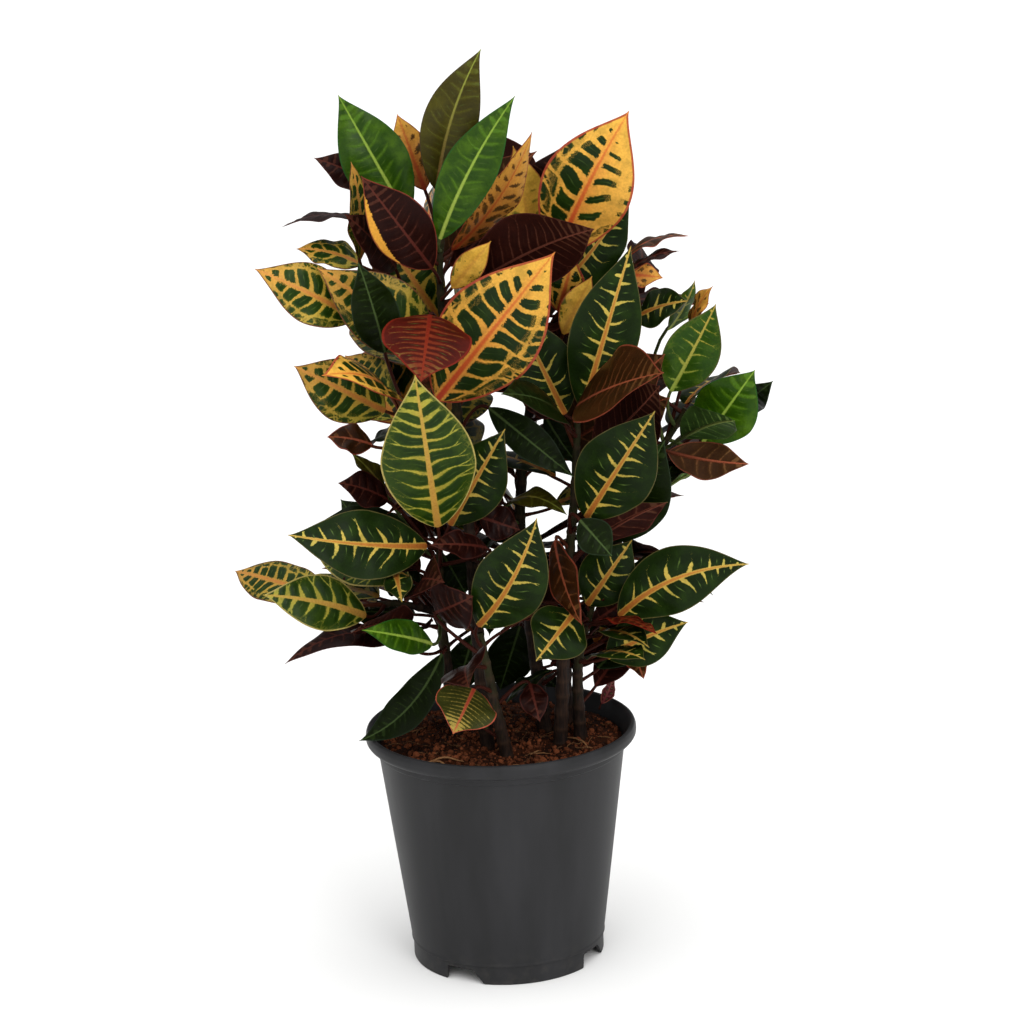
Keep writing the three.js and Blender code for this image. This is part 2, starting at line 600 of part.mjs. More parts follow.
// The space that has to be free for a leaf: its blade, and its petiole outside the stem.
function roomFor(leaf) {
  const { bend, leaving, turning, tangent } = petioleLine(leaf);
  const radius = LEAF.petioleRadius + LEAF.clear;
  const blade = solid(loft(STATIONS[leaf.kind].map((t) => bladeRing(leaf, t, LEAF.clear))));
  const stalk = solid(loft([
    petioleRing(leaf.root.clone().lerp(bend, 0.45), leaving, leaf.face, radius),
    petioleRing(bend, turning, leaf.face, radius),
    petioleRing(leaf.heel, tangent, leaf.face, radius),
  ]));
  return { blade, stalk };
}

// The ways that a front leaf can be placed so that it shows at the same spot in the view.
function* frontCandidates(axes, row, order) {
  for (const slide of SLIDES) {
    const [tip, heel] = [row.tip, row.heel].map((spot) => {
      const point = place(spot);
      const ray = point.clone().sub(VIEW.eye).normalize();
      return point.addScaledVector(ray, slide);
    });
    const face = VIEW.eye.clone().sub(tip);
    for (const shift of ROOT_SHIFTS) {
      const root = rootFor(axes, heel, shift);
      yield leafFrame({ ...FRONT_LEAF, ...row, tip, heel, face, root, phase: order * 2.4, kind: 'front' });
    }
  }
}

// Draws from 0 to 1 in 32-bit arithmetic.
function draws(seed) {
  let state = seed | 0;
  return () => {
    state = (state + 0x6d2b79f5) | 0;
    let t = Math.imul(state ^ (state >>> 15), 1 | state);
    t = (t + Math.imul(t ^ (t >>> 7), 61 | t)) ^ t;
    return ((t ^ (t >>> 14)) >>> 0) / 4294967296;
  };
}

function direction(azimuth, pitch) {
  const level = Math.cos(pitch * DEG);
  return new THREE.Vector3(
    level * Math.cos(azimuth * DEG), level * Math.sin(azimuth * DEG), Math.sin(pitch * DEG));
}

// The ways that a further leaf can grow: from its own place on the stem, turned until it is clear.
function* moreCandidates(stem, axis, order, drawn) {
  const g = GROWTH;
  const [dAzimuth, dPitch, dLength, dPetiole, dSlender, dSide, dArch, dFold, dPhase] = drawn;
  const along = axis.from + ((1 - axis.from) * (order + 0.5)) / axis.more;
  const root = axis.points[Math.round(along * (axis.points.length - 1))];
  const spiral = ((order * g.golden + stem.seed * 7) % 360) / 360 - 0.5;
  const azimuth = stem.outward + spiral * g.sector + (dAzimuth - 0.5) * g.jitter;
  const height = THREE.MathUtils.clamp((root.z - g.lowest) / (g.highest - g.lowest), 0, 1);
  const pitch = g.lowPitch + (g.highPitch - g.lowPitch) * height + (dPitch - 0.5) * g.pitchDraw;
  for (const shrink of SHRINKS) {
    for (const [turn, lift] of TURNS) {
      const length = shrink * (g.lengthShort + g.lengthDraw * dLength);
      const stalk = g.petioleShort + g.petioleDraw * dPetiole;
      const out = direction(azimuth + turn, pitch + lift + g.petioleLift);
      const heel = root.clone().addScaledVector(out, stalk + STEM.topRadius);
      const lean = direction(azimuth + turn + (dSide - 0.5) * g.sideways, pitch + lift);
      const tip = heel.clone().addScaledVector(lean, length);
      const face = direction(azimuth + turn, 0).multiplyScalar(g.faceOut);
      face.z += g.faceUp;
      yield leafFrame({
        tip, heel, face, root, roll: 0, twist: 0, sweep: 0,
        width: length * (g.slender + g.slenderDraw * dSlender),
        arch: 0.03 + 0.09 * dArch,
        fold: 8 + 12 * dFold,
        phase: 2 * Math.PI * dPhase,
        wave: FRONT_LEAF.wave,
        cup: FRONT_LEAF.cup,
        kind: 'more',
      });
    }
  }
}

function insideOutline([x, y]) {
  let inside = false;
  CROWN_OUTLINE.forEach(([x1, y1], i) => {
    const [x2, y2] = CROWN_OUTLINE[(i + 1) % CROWN_OUTLINE.length];
    if (y1 > y !== y2 > y && x < x1 + ((x2 - x1) * (y - y1)) / (y2 - y1)) inside = !inside;
  });
  return inside;
}

// A further leaf stays inside the crown's outline, out of the light gaps and above the pot.
function withinCrown(leaf) {
  return [0.15, 0.35, 0.55, 0.75, 0.9, 1].every((t) => bladeRing(leaf, t, 0).slice(0, 3).every((point) => {
    const [x, y] = seen(point);
    return point.z > GROWTH.floor && point.y < GROWTH.behind && insideOutline([x, y])
      && LIGHT_GAPS.every(([gx, gy, radius]) => Math.hypot(x - gx, y - gy) > radius);
  }));
}

// The fallen leaf, set down until it all but touches the soil.
function fallenSolid(ground) {
  const [tip, heel] = [FALLEN.tip, FALLEN.heel].map(place);
  const face = VIEW.eye.clone().sub(tip);
  const blade = (room) => solid(loft(STATIONS.more.map((t) => (
    bladeRing(leafFrame({ ...FALLEN, tip, heel, face }), t, room)))));
  while (meets(blade(GAP), ground)) [tip, heel].forEach((point) => { point.z += 0.1; });
  while (!meets(blade(GAP), ground)) [tip, heel].forEach((point) => { point.z -= 0.1; });
  [tip, heel].forEach((point) => { point.z += 0.1; });
  return blade(0);
}

// ---------------------------------------------------------------- the plant

const frames = STEMS.map(frameOf);
const pot = potSolid();
const soil = soilSolid(frames.map(({ foot }) => holeSolid(foot)));
const ground = pot.add(soil);
const allWood = frames.slice(1).reduce((whole, { wood }) => whole.add(wood), frames[0].wood);
const fallen = fallenSolid(ground);
const bodies = frames.map(({ wood }) => wood);
let foliage = fallen;

// A leaf is clear where its blade meets nothing, and its petiole no other leaf and no ground.
function isClear(leaf) {
  const { blade, stalk } = roomFor(leaf);
  return !meets(blade, allWood) && !meets(blade, foliage) && !meets(blade, ground)
    && !meets(stalk, foliage) && !meets(stalk, ground);
}

// The first of a leaf's possible places that is clear is the one that it grows in.
function grow(index, candidates) {
  for (const leaf of candidates) {
    if ((leaf.kind === 'front' || withinCrown(leaf)) && isClear(leaf)) {
      const body = leafSolid(leaf);
      foliage = foliage.add(body);
      bodies[index] = bodies[index].add(body);
      return;
    }
  }
}

STEMS.forEach((stem, index) => stem.leaves.forEach((row, order) => {
  grow(index, frontCandidates(frames[index].axes, row, order));
}));
STEMS.forEach((stem, index) => {
  const draw = draws(stem.seed);
  frames[index].axes.forEach((axis) => {
    for (let order = 0; order < axis.more; order += 1) {
      grow(index, moreCandidates(stem, axis, order, Array.from({ length: DRAWS }, draw)));
    }
  });
});

const plant = new THREE.Group();
plant.add(piece('pot', pot, 0x3c3d3f, 0.5));
plant.add(piece('soil', soil, 0x2a140c, 0.95));
plant.add(piece('fallen_leaf', fallen, 0x5a1a20, 0.6));
STEMS.forEach((stem, index) => plant.add(piece(stem.name, bodies[index], stem.colour, 0.45)));

export default plant;
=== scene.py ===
"""Potted croton: a plain grow pot of peaty soil with seven leafy stems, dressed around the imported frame.

Plans and sizes are in millimetres in the frame's axes, +Z up, and meshes are in metres.
Every leaf grows where the same leaf of the CAD grows: its possible places are worked out
again, and the one whose tip is among the CAD node's corners is the one that it takes.
"""

from __future__ import annotations

import logging
import math
import random
from dataclasses import dataclass, field, replace
from enum import Enum
from functools import cache
from typing import Any, Iterator, NamedTuple, Sequence, Union

import bmesh
import bpy
import numpy as np
from mathutils import Matrix, Vector, noise
from mathutils.bvhtree import BVHTree
from mathutils.kdtree import KDTree


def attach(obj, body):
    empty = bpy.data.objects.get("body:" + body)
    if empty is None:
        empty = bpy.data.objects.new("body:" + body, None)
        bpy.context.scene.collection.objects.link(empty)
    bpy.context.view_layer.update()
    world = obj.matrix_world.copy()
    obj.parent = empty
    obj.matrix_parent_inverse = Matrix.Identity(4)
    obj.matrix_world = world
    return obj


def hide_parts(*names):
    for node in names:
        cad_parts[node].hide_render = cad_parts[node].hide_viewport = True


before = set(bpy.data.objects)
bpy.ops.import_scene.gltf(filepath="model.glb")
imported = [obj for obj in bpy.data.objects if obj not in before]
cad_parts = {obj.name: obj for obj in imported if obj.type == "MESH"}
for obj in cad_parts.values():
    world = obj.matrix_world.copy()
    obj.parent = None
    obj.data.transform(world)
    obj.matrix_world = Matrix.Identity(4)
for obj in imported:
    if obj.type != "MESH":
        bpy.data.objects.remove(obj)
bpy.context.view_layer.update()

LOG = logging.getLogger("potted_croton")
MM = 0.001
UP = np.array((0.0, 0.0, 1.0))
BAKE_MAP = "OFBake"
SIDE_STEP = 0.45  # of a step between side veins, by which those of one half stand ahead
PATTERN_STEP = 971.0  # millimetres between the places that two leaves take their patterns from
CHANCE_RANGE = 100.0  # a leaf's own draw runs from 0 to this in its fields
BLOTCH_SIZE = 13.0  # millimetres across a blotch of a leaf
GRAIN_SIZE = 1.7  # millimetres across the fine mottle of a leaf
SHAKE_SIZE = 4.0  # millimetres of the noise that bends a leaf's net
CAD_HALF_THICK = 0.45  # of the CAD's blades

Feed = Union[bpy.types.Node, bpy.types.NodeSocket]


# ---- small helpers


def linear(colour: str) -> tuple[float, float, float, float]:
    """Turns an sRGB hex colour into the linear colour that a shader takes.

    Args:
        colour: six hex digits after a #.

    Returns:
        Red, green, blue and an alpha of 1.
    """
    parts = [int(colour[i:i + 2], 16) / 255 for i in (1, 3, 5)]
    red, green, blue = (c / 12.92 if c <= 0.04045 else ((c + 0.055) / 1.055) ** 2.4 for c in parts)
    return red, green, blue, 1.0


def unit(vectors: np.ndarray) -> np.ndarray:
    """Scales vectors, in the last axis, to a length of 1."""
    return vectors / np.linalg.norm(vectors, axis=-1, keepdims=True)


def turn_about(vectors: np.ndarray, axes: np.ndarray, degrees: np.ndarray | float) -> np.ndarray:
    """Turns vectors that stand square to their axes.

    Args:
        vectors: the vectors to turn.
        axes: the unit axes, square to them.
        degrees: the angle, one for all or one for each.

    Returns:
        The turned vectors.
    """
    angle = np.radians(np.asarray(degrees, float))[..., None]
    return vectors * np.cos(angle) + np.cross(axes, vectors) * np.sin(angle)


def direction(azimuth: float, pitch: float) -> np.ndarray:
    """Gives the unit vector that points a given way.

    Args:
        azimuth: from +X towards +Y, in degrees.
        pitch: above the horizon, in degrees.

    Returns:
        The vector.
    """
    level = math.cos(math.radians(pitch))
    turn = math.radians(azimuth)
    return np.array((level * math.cos(turn), level * math.sin(turn), math.sin(math.radians(pitch))))


def draws(seed: int) -> Iterator[float]:
    """Makes draws in 32-bit arithmetic, the same ones as the CAD's.

    Args:
        seed: where they start.

    Yields:
        A number from 0 to 1.
    """
    mask, stride, state = 0xFFFFFFFF, 0x6D2B79F5, seed
    while True:
        state = (state + stride) & mask
        mixed = ((state ^ (state >> 15)) * (1 | state)) & mask
        mixed = ((mixed + (((mixed ^ (mixed >> 7)) * (61 | mixed)) & mask)) & mask) ^ mixed
        yield (mixed ^ (mixed >> 14)) / 2**32


def show(thing: bpy.types.Object) -> bpy.types.Object:
    """Links an object to the scene and gives it back."""
    bpy.context.scene.collection.objects.link(thing)
    return thing


def closed_mesh(name: str, points: Sequence[Sequence[float]], faces: Sequence[Sequence[int]]
                ) -> bpy.types.Object:
    """Makes an object from corners in millimetres.

    Args:
        name: the object's name.
        points: the corners.
        faces: the corners' numbers, face by face.

    Returns:
        The object, linked to the scene.
    """
    mesh = bpy.data.meshes.new(name)
    mesh.from_pydata([tuple(c * MM for c in point) for point in points], [], faces)
    return show(bpy.data.objects.new(name, mesh))


# ---- node sheets


class Sheet:
    """The node tree of one finish."""

    def __init__(self, name: str) -> None:
        """Starts an empty material of this name."""
        self.material = bpy.data.materials.new(name)
        self.material.use_nodes = True
        self.material.node_tree.nodes.clear()

    def add(self, kind: str, feeds: Sequence[Any] | dict[int | str, Any] = (), **settings: Any
            ) -> bpy.types.Node:
        """Adds a node with its settings and links.

        Args:
            kind: the node's type without ShaderNode, and its operation after a dot. A Mix
                always mixes colours.
            feeds: a value, hex colour, node or socket for each of the first inputs, or by name
                or number.
            settings: the node's own properties.

        Returns:
            The node.
        """
        kind, _, operation = kind.partition(".")
        node = self.material.node_tree.nodes.new("ShaderNode" + kind)
        if operation:
            node.operation = operation
        if kind == "Mix":
            node.data_type = "RGBA"
        for key, value in settings.items():
            setattr(node, key, value)
        for key, value in feeds.items() if isinstance(feeds, dict) else enumerate(feeds):
            socket = node.inputs[key]
            if isinstance(value, str):
                value = linear(value)
            if isinstance(value, bpy.types.Node):
                value = next(out for out in value.outputs if out.enabled)
            if isinstance(value, bpy.types.NodeSocket):
                self.material.node_tree.links.new(value, socket)
            else:
                socket.default_value = value
        return node

    def finish(self, feeds: dict[int | str, Any]) -> bpy.types.Material:
        """Ends the sheet with its shader.

        Args:
            feeds: the shader's inputs by name.

        Returns:
            The finished material.
        """
        shader = self.add("BsdfPrincipled", feeds)
        self.add("OutputMaterial", {"Surface": shader})
        return self.material


# ---- finishes


@dataclass(frozen=True)
class BladeFields:
    """What a leaf's mesh tells its material at each point. Lengths are in millimetres."""

    sheet: Sheet
    place: Feed  # on the flat blade, elsewhere for each leaf
    number: Feed  # whole on a side vein
    share: Feed  # of the half width, 0 at the midrib
    chance: Feed  # the leaf's own draw
    rib: Feed  # past the edge of the midrib's band
    margin: Feed  # to the leaf's edge
    along: Feed  # share of the length, 0 at the heel
    blotches: Feed  # a coarse noise
    rough: Feed  # a fine noise
    rag: Feed  # the fine noise as a shift of the veins' sides
    side: Feed  # 1 on one half of the blade, 0 on the other

    @staticmethod
    def read(sheet: Sheet, rag: float) -> BladeFields:
        """Reads the fields into a sheet.

        Args:
            sheet: the sheet of the leaf's finish.
            rag: how ragged the veins are.

        Returns:
            The fields.
        """
        add = sheet.add
        place = add("Attribute", attribute_name="leaf_place").outputs["Vector"]
        across = add("SeparateXYZ", (place,)).outputs["X"]
        veins = add("SeparateXYZ", (add("Attribute", attribute_name="leaf_veins").outputs["Vector"],))
        edges = add("SeparateXYZ", (add("Attribute", attribute_name="leaf_edges").outputs["Vector"],))
        blotches = add("TexNoise", {"Vector": place, "Scale": 1 / BLOTCH_SIZE, "Detail": 2.0}).outputs[0]
        rough = add("TexNoise", {"Vector": place, "Scale": 1 / GRAIN_SIZE, "Detail": 3.0}).outputs[0]
        ragged = add("MapRange", (rough, 0.25, 0.75, -rag, rag))
        side = add("Math.GREATER_THAN", (across, 0.0))
        return BladeFields(sheet, place, *veins.outputs, *edges.outputs, blotches, rough, ragged, side)


@dataclass(frozen=True)
class LeafFinish:
    """One side of a croton blade: living leaf tissue under a thin natural wax.

    The wax gives the eye broad soft highlights. The colour follows the veins: a midrib band,
    side veins that leave it at a wide angle and fork towards the edge, a fine net between
    them, and a thin edge line. Widths and spacings are in millimetres on the blade.
    """

    name: str
    deep: str  # between the veins
    flesh: str  # beside the veins and in the blotches
    vein: tuple[str, str]  # near the heel, near the tip
    rib: tuple[str, str]
    edge: str
    rib_width: float = 2.2  # half of the band, at the heel
    flank: float = 0.3  # how much the band's sides take the side veins' colour
    vein_width: float = 0.6  # half of a side vein
    spacing: float = 12.0
    reach: float = 0.6  # of the half width, where side veins run out
    fork: float = 0.55  # of the half width, where side veins split
    spread: float = 3.5  # how far the two arms part
    net: float = 0.15  # how much of the fine net shows
    net_from: float = 0.55  # of the half width, where the net starts
    cell: float = 3.2  # of the net
    fill: float = 3.0  # how much the veins widen towards the tip
    fill_from: float = 0.6
    skirt: float = 0.0  # vein colour beside the midrib
    rag: float = 0.9  # how ragged the veins are
    gild: float = 0.0  # how much wider the veins of one half are
    taper: float = 0.5  # of a side vein's width, left at the edge
    short: float = 0.7  # how much of the short veins between the others shows
    close: float = 0.0  # of the half width, where arcs join the side veins to islands
    girth: float = 26.0  # a usual half width
    crescent: float = 0.0  # width of a paler band along one edge
    lip: str = "#bd8630"  # colour of that band
    blend: float = 0.55  # how much a side vein starts in the midrib's colour
    grass: str = "#5c7434"  # of the short strokes, and of side veins near the edge
    green_out: float = 0.45  # how green the side veins turn towards the edge
    halo: float = 2.0  # how far the flesh's colour runs beside a vein
    outer: float = 0.15  # how much paler the outer part is
    edge_width: float = 0.7
    blotch: float = 0.5  # how much the blotches show
    shine: float = 0.36  # roughness of the waxed skin
    wax: float = 0.14  # strength of its reflection

    def material(self) -> bpy.types.Material:
        """Builds the blade's material from the fields that each leaf carries.

        Returns:
            The material.
        """
        sheet = Sheet("croton_leaf_" + self.name)
        add = sheet.add
        at = BladeFields.read(sheet, self.rag)
        inside, line, between = self.side_veins(at)
        paint = self.paint(at, line)
        veined, ribs = self.colours(at, inside, between, paint)
        edged = self.edged(at, veined)
        band = add("Math.MULTIPLY_ADD", (at.rag, 0.35, at.rib))
        ribbed = add("Mix", {0: add("MapRange", (band, 0.25, -0.25, 0.0, 1.0)), 6: edged, 7: ribs})
        bright = add("MapRange", (at.chance, 0.0, CHANCE_RANGE, 0.86, 1.14))
        mottle = add("MapRange", (at.rough, 0.25, 0.75, 0.84, 1.16))
        value = add("Math.MULTIPLY", (bright, mottle))
        colour = add("HueSaturation", {"Value": value, "Color": ribbed})
        relief = add("Math.MULTIPLY_ADD", (at.rough, 0.5, paint))
        return sheet.finish({
            "Base Color": colour,
            "Roughness": add("MapRange", (at.rough, 0.2, 0.8, self.shine - 0.05, self.shine + 0.09)),
            "IOR": 1.42,
            "Specular IOR Level": self.wax,
            "Normal": add("Bump", {"Height": relief, "Strength": 0.35, "Distance": 0.0005}),
        })

    def side_veins(self, at: BladeFields) -> tuple[Feed, Feed, Feed]:
        """Draws the side veins, each of its own width and reach, with two arms past the fork.

        Args:
            at: the leaf's fields.

        Returns:
            How deep a point lies in a vein, how much of it the veins cover, and how much the
            short strokes between them show.
        """
        add = at.sheet.add
        count = add("Math.MULTIPLY_ADD", (at.side, SIDE_STEP, at.number))
        nearest = add("Math.ROUND", (count,))
        lane = add("CombineXYZ", (nearest, at.side, at.chance))
        draw = add("TexWhiteNoise", (lane,), noise_dimensions="3D")
        chances = add("SeparateColor", (draw.outputs["Color"],)).outputs
        step = add("Math.PINGPONG", (count, 0.5))
        gap = add("Math.MULTIPLY", (step, self.spacing))
        narrow = add("MapRange", (at.along, 0.5, 1.0, 1.0, 0.35))
        arms = add("MapRange", (at.share, self.fork, 1.0, 0.0, self.spread * 2))
        arms = add("Math.MULTIPLY", (arms, narrow))
        parted = add("Math.SUBTRACT", (gap, arms))
        off = add("Math.ABSOLUTE", (parted,))
        island = add("CombineXYZ", (add("Math.FLOOR", (count,)), at.side, at.chance))
        shut = add("TexWhiteNoise", (island,), noise_dimensions="3D").outputs["Value"]
        if self.close:
            arc = add("MapRange", (shut, 0.0, 1.0, self.close - 0.13, self.close + 0.1))
            bow = add("Math.MULTIPLY", (add("Math.SUBTRACT", (at.share, arc)), self.girth))
            off = add("Math.SMOOTH_MIN", (off, add("Math.ABSOLUTE", (bow,)), 4.0))
        width = add("MapRange", (chances[0], 0.0, 1.0, 0.55 * self.vein_width, 1.3 * self.vein_width))
        taper = add("MapRange", (at.share, 0.0, 0.7, 1.9, self.taper), interpolation_type="SMOOTHERSTEP")
        filled = add("MapRange", (at.along, self.fill_from, 1.0, 0.0, self.fill),
                     interpolation_type="SMOOTHSTEP")
        width = add("Math.MULTIPLY", (width, narrow))
        if self.gild:
            filled = add("Math.MULTIPLY_ADD", (at.side, self.gild, filled))
        tapered = add("Math.MULTIPLY_ADD", (width, taper, filled))
        inside = add("Math.SUBTRACT", (tapered, off))
        stop = add("MapRange", (chances[1], 0.0, 1.0, 0.6 * self.reach, 1.25 * self.reach))
        past = add("Math.SUBTRACT", (at.share, stop))
        fade = add("MapRange", (past, -0.1, 0.25, 0.0, 3.2))
        inside = add("Math.SUBTRACT", (inside, fade))
        ragged = add("Math.MULTIPLY_ADD", (at.rag, 0.5, inside))
        line = add("MapRange", (ragged, -0.3, 0.3, 0.0, 1.0), interpolation_type="SMOOTHSTEP")

        # Thin short strokes half way between the veins.
        middle = add("Math.SUBTRACT", (gap, self.spacing / 2))
        centre = add("MapRange", (shut, 0.0, 1.0, 0.15, 0.5))
        away = add("Math.ABSOLUTE", (add("Math.SUBTRACT", (at.share, centre)),))
        thin = add("MapRange", (away, 0.0, 0.22, 0.45, -0.4))
        stroke = add("Math.ADD", (thin, middle))
        return inside, line, add("MapRange", (stroke, -0.35, 0.35, 0.0, self.short))

    def paint(self, at: BladeFields, line: Feed) -> Feed:
        """Joins the side veins with the fine net, which shows in patches towards the edge.

        Args:
            at: the leaf's fields.
            line: how much the side veins cover.

        Returns:
            How much the vein colour covers.
        """
        add = at.sheet.add
        shake = add("TexNoise", {"Vector": at.place, "Scale": 1 / SHAKE_SIZE}).outputs["Color"]
        shaken = add("VectorMath.MULTIPLY_ADD", (shake, (2.0, 2.0, 2.0), at.place))
        mesh = add("TexVoronoi", {"Vector": shaken, "Scale": 1 / self.cell}, feature="DISTANCE_TO_EDGE")
        threads = add("MapRange", (mesh, 0.05, 0.16, 1.0, 0.0))
        outward = add("MapRange", (at.share, self.net_from, min(1.0, self.net_from + 0.3), 0.0, self.net),
                      interpolation_type="SMOOTHSTEP")
        patches = add("MapRange", (at.blotches, 0.42, 0.56, 0.0, 1.0))
        patched = add("Math.MULTIPLY", (outward, patches))
        net = add("Math.MULTIPLY", (threads, patched))
        beside = add("Math.ADD", (at.rib, at.rag))
        skirt = add("MapRange", (beside, self.skirt + 0.3, self.skirt - 0.3, 0.0, 1.0))
        worn = add("MapRange", (at.blotches, 0.36, 0.5, 0.72, 1.0))
        paint = add("Math.MAXIMUM", (add("Math.MULTIPLY", (line, worn)), net))
        if self.skirt:
            paint = add("Math.MAXIMUM", (paint, skirt))
        return paint

    def colours(self, at: BladeFields, inside: Feed, between: Feed, paint: Feed
                ) -> tuple[Feed, Feed]:
        """Colours the tissue and the side veins.

        Args:
            at: the leaf's fields.
            inside: how deep a point lies in a side vein.
            between: how much the short strokes show.
            paint: how much the vein colour covers.

        Returns:
            The colour without midrib and edge, and the colour of the midrib's band.
        """
        add = at.sheet.add
        near = add("MapRange", (inside, -self.halo, 0.0, 0.0, 0.8))
        spots = add("MapRange", (at.blotches, 0.45, 0.75, 0.0, self.blotch))
        pale = add("MapRange", (at.share, 0.6, 0.95, 0.0, self.outer))
        lit = add("Math.MAXIMUM", (add("Math.MAXIMUM", (near, pale)), spots))
        tissue = add("Mix", {0: lit, 6: self.deep, 7: self.flesh})
        gold = add("Mix", {0: at.along, 6: self.vein[0], 7: self.vein[1]})
        ribs = add("Mix", {0: at.along, 6: self.rib[0], 7: self.rib[1]})
        flank = add("MapRange", (at.rib, -1.1, -0.1, 0.0, self.flank))
        ribs = add("Mix", {0: flank, 6: ribs, 7: gold})
        leaving = add("MapRange", (at.share, 0.0, 0.35, self.blend, 0.0))
        gold = add("Mix", {0: leaving, 6: gold, 7: ribs})
        grass = add("Mix", {0: 0.65, 6: gold, 7: self.grass})
        thinned = add("Mix", {0: between, 6: tissue, 7: self.grass})
        fading = add("MapRange", (at.share, 0.3, 1.0, 0.0, self.green_out))
        outgrown = add("Mix", {0: fading, 6: gold, 7: grass})
        veined = add("Mix", {0: paint, 6: thinned, 7: outgrown})
        return veined, ribs

    def edged(self, at: BladeFields, veined: Feed) -> Feed:
        """Colours the edge line and, on a finish that has one, the paler band along one edge.

        Args:
            at: the leaf's fields.
            veined: the colour of tissue and veins.

        Returns:
            The colour with the edge.
        """
        add = at.sheet.add
        frayed = add("Math.MULTIPLY_ADD", (at.blotches, 1.4, at.margin))
        border = add("MapRange", (frayed, self.edge_width + 1.1, self.edge_width + 0.5, 0.0, 0.9))
        if self.crescent:
            middle = add("Math.SUBTRACT", (at.along, 0.55))
            bulge = add("MapRange", (middle, -0.35, 0.35, 0.0, 1.0))
            bulge = add("Math.SINE", (add("Math.MULTIPLY", (bulge, math.pi)),))
            wide = add("Math.MULTIPLY", (bulge, self.crescent))
            lip = add("Math.SUBTRACT", (wide, at.margin))
            lip = add("MapRange", (add("Math.ADD", (lip, at.rag)), 0.0, 0.6, 0.0, 1.0))
            other = add("Math.SUBTRACT", (1.0, at.side))
            curl = add("Math.MULTIPLY", (lip, other))
            veined = add("Mix", {0: curl, 6: veined, 7: self.lip})
        return add("Mix", {0: border, 6: veined, 7: self.edge})


class Under(Enum):
    """The undersides of the leaves, duller than their faces. The rib's first colour is the stalk's."""

    # The stalks' colours, the ribs' first ones, are darkened partly as painted shade for stalks inside the
    # crown.
    MAROON = LeafFinish(
        "maroon_underside", "#220a06", "#34140b", ("#44221a", "#482c1e"),
        ("#35160f", "#6a3a2c"), "#44201a", rib_width=1.1, vein_width=0.4, reach=0.95, fork=0.85,
        net=0.0, shine=0.55, wax=0.08, short=0.15, grass="#4a3420")
    BRONZE = LeafFinish(
        "bronze_underside", "#362010", "#4a2f17", ("#5e3a20", "#64462a"),
        ("#4a2416", "#a8583c"), "#6e3a28", rib_width=1.2, vein_width=0.4, reach=0.95, fork=0.85,
        net=0.0, edge_width=0.8, shine=0.55, wax=0.08,
        short=0.15, grass="#5a4420")
    GREEN = LeafFinish(
        "green_underside", "#2b3f19", "#3a5622", ("#5f7a3a", "#6c8644"),
        ("#45502a", "#8a9850"), "#3c4c22", rib_width=1.1, vein_width=0.35, reach=0.95, fork=0.85,
        net=0.0, shine=0.55, wax=0.08)


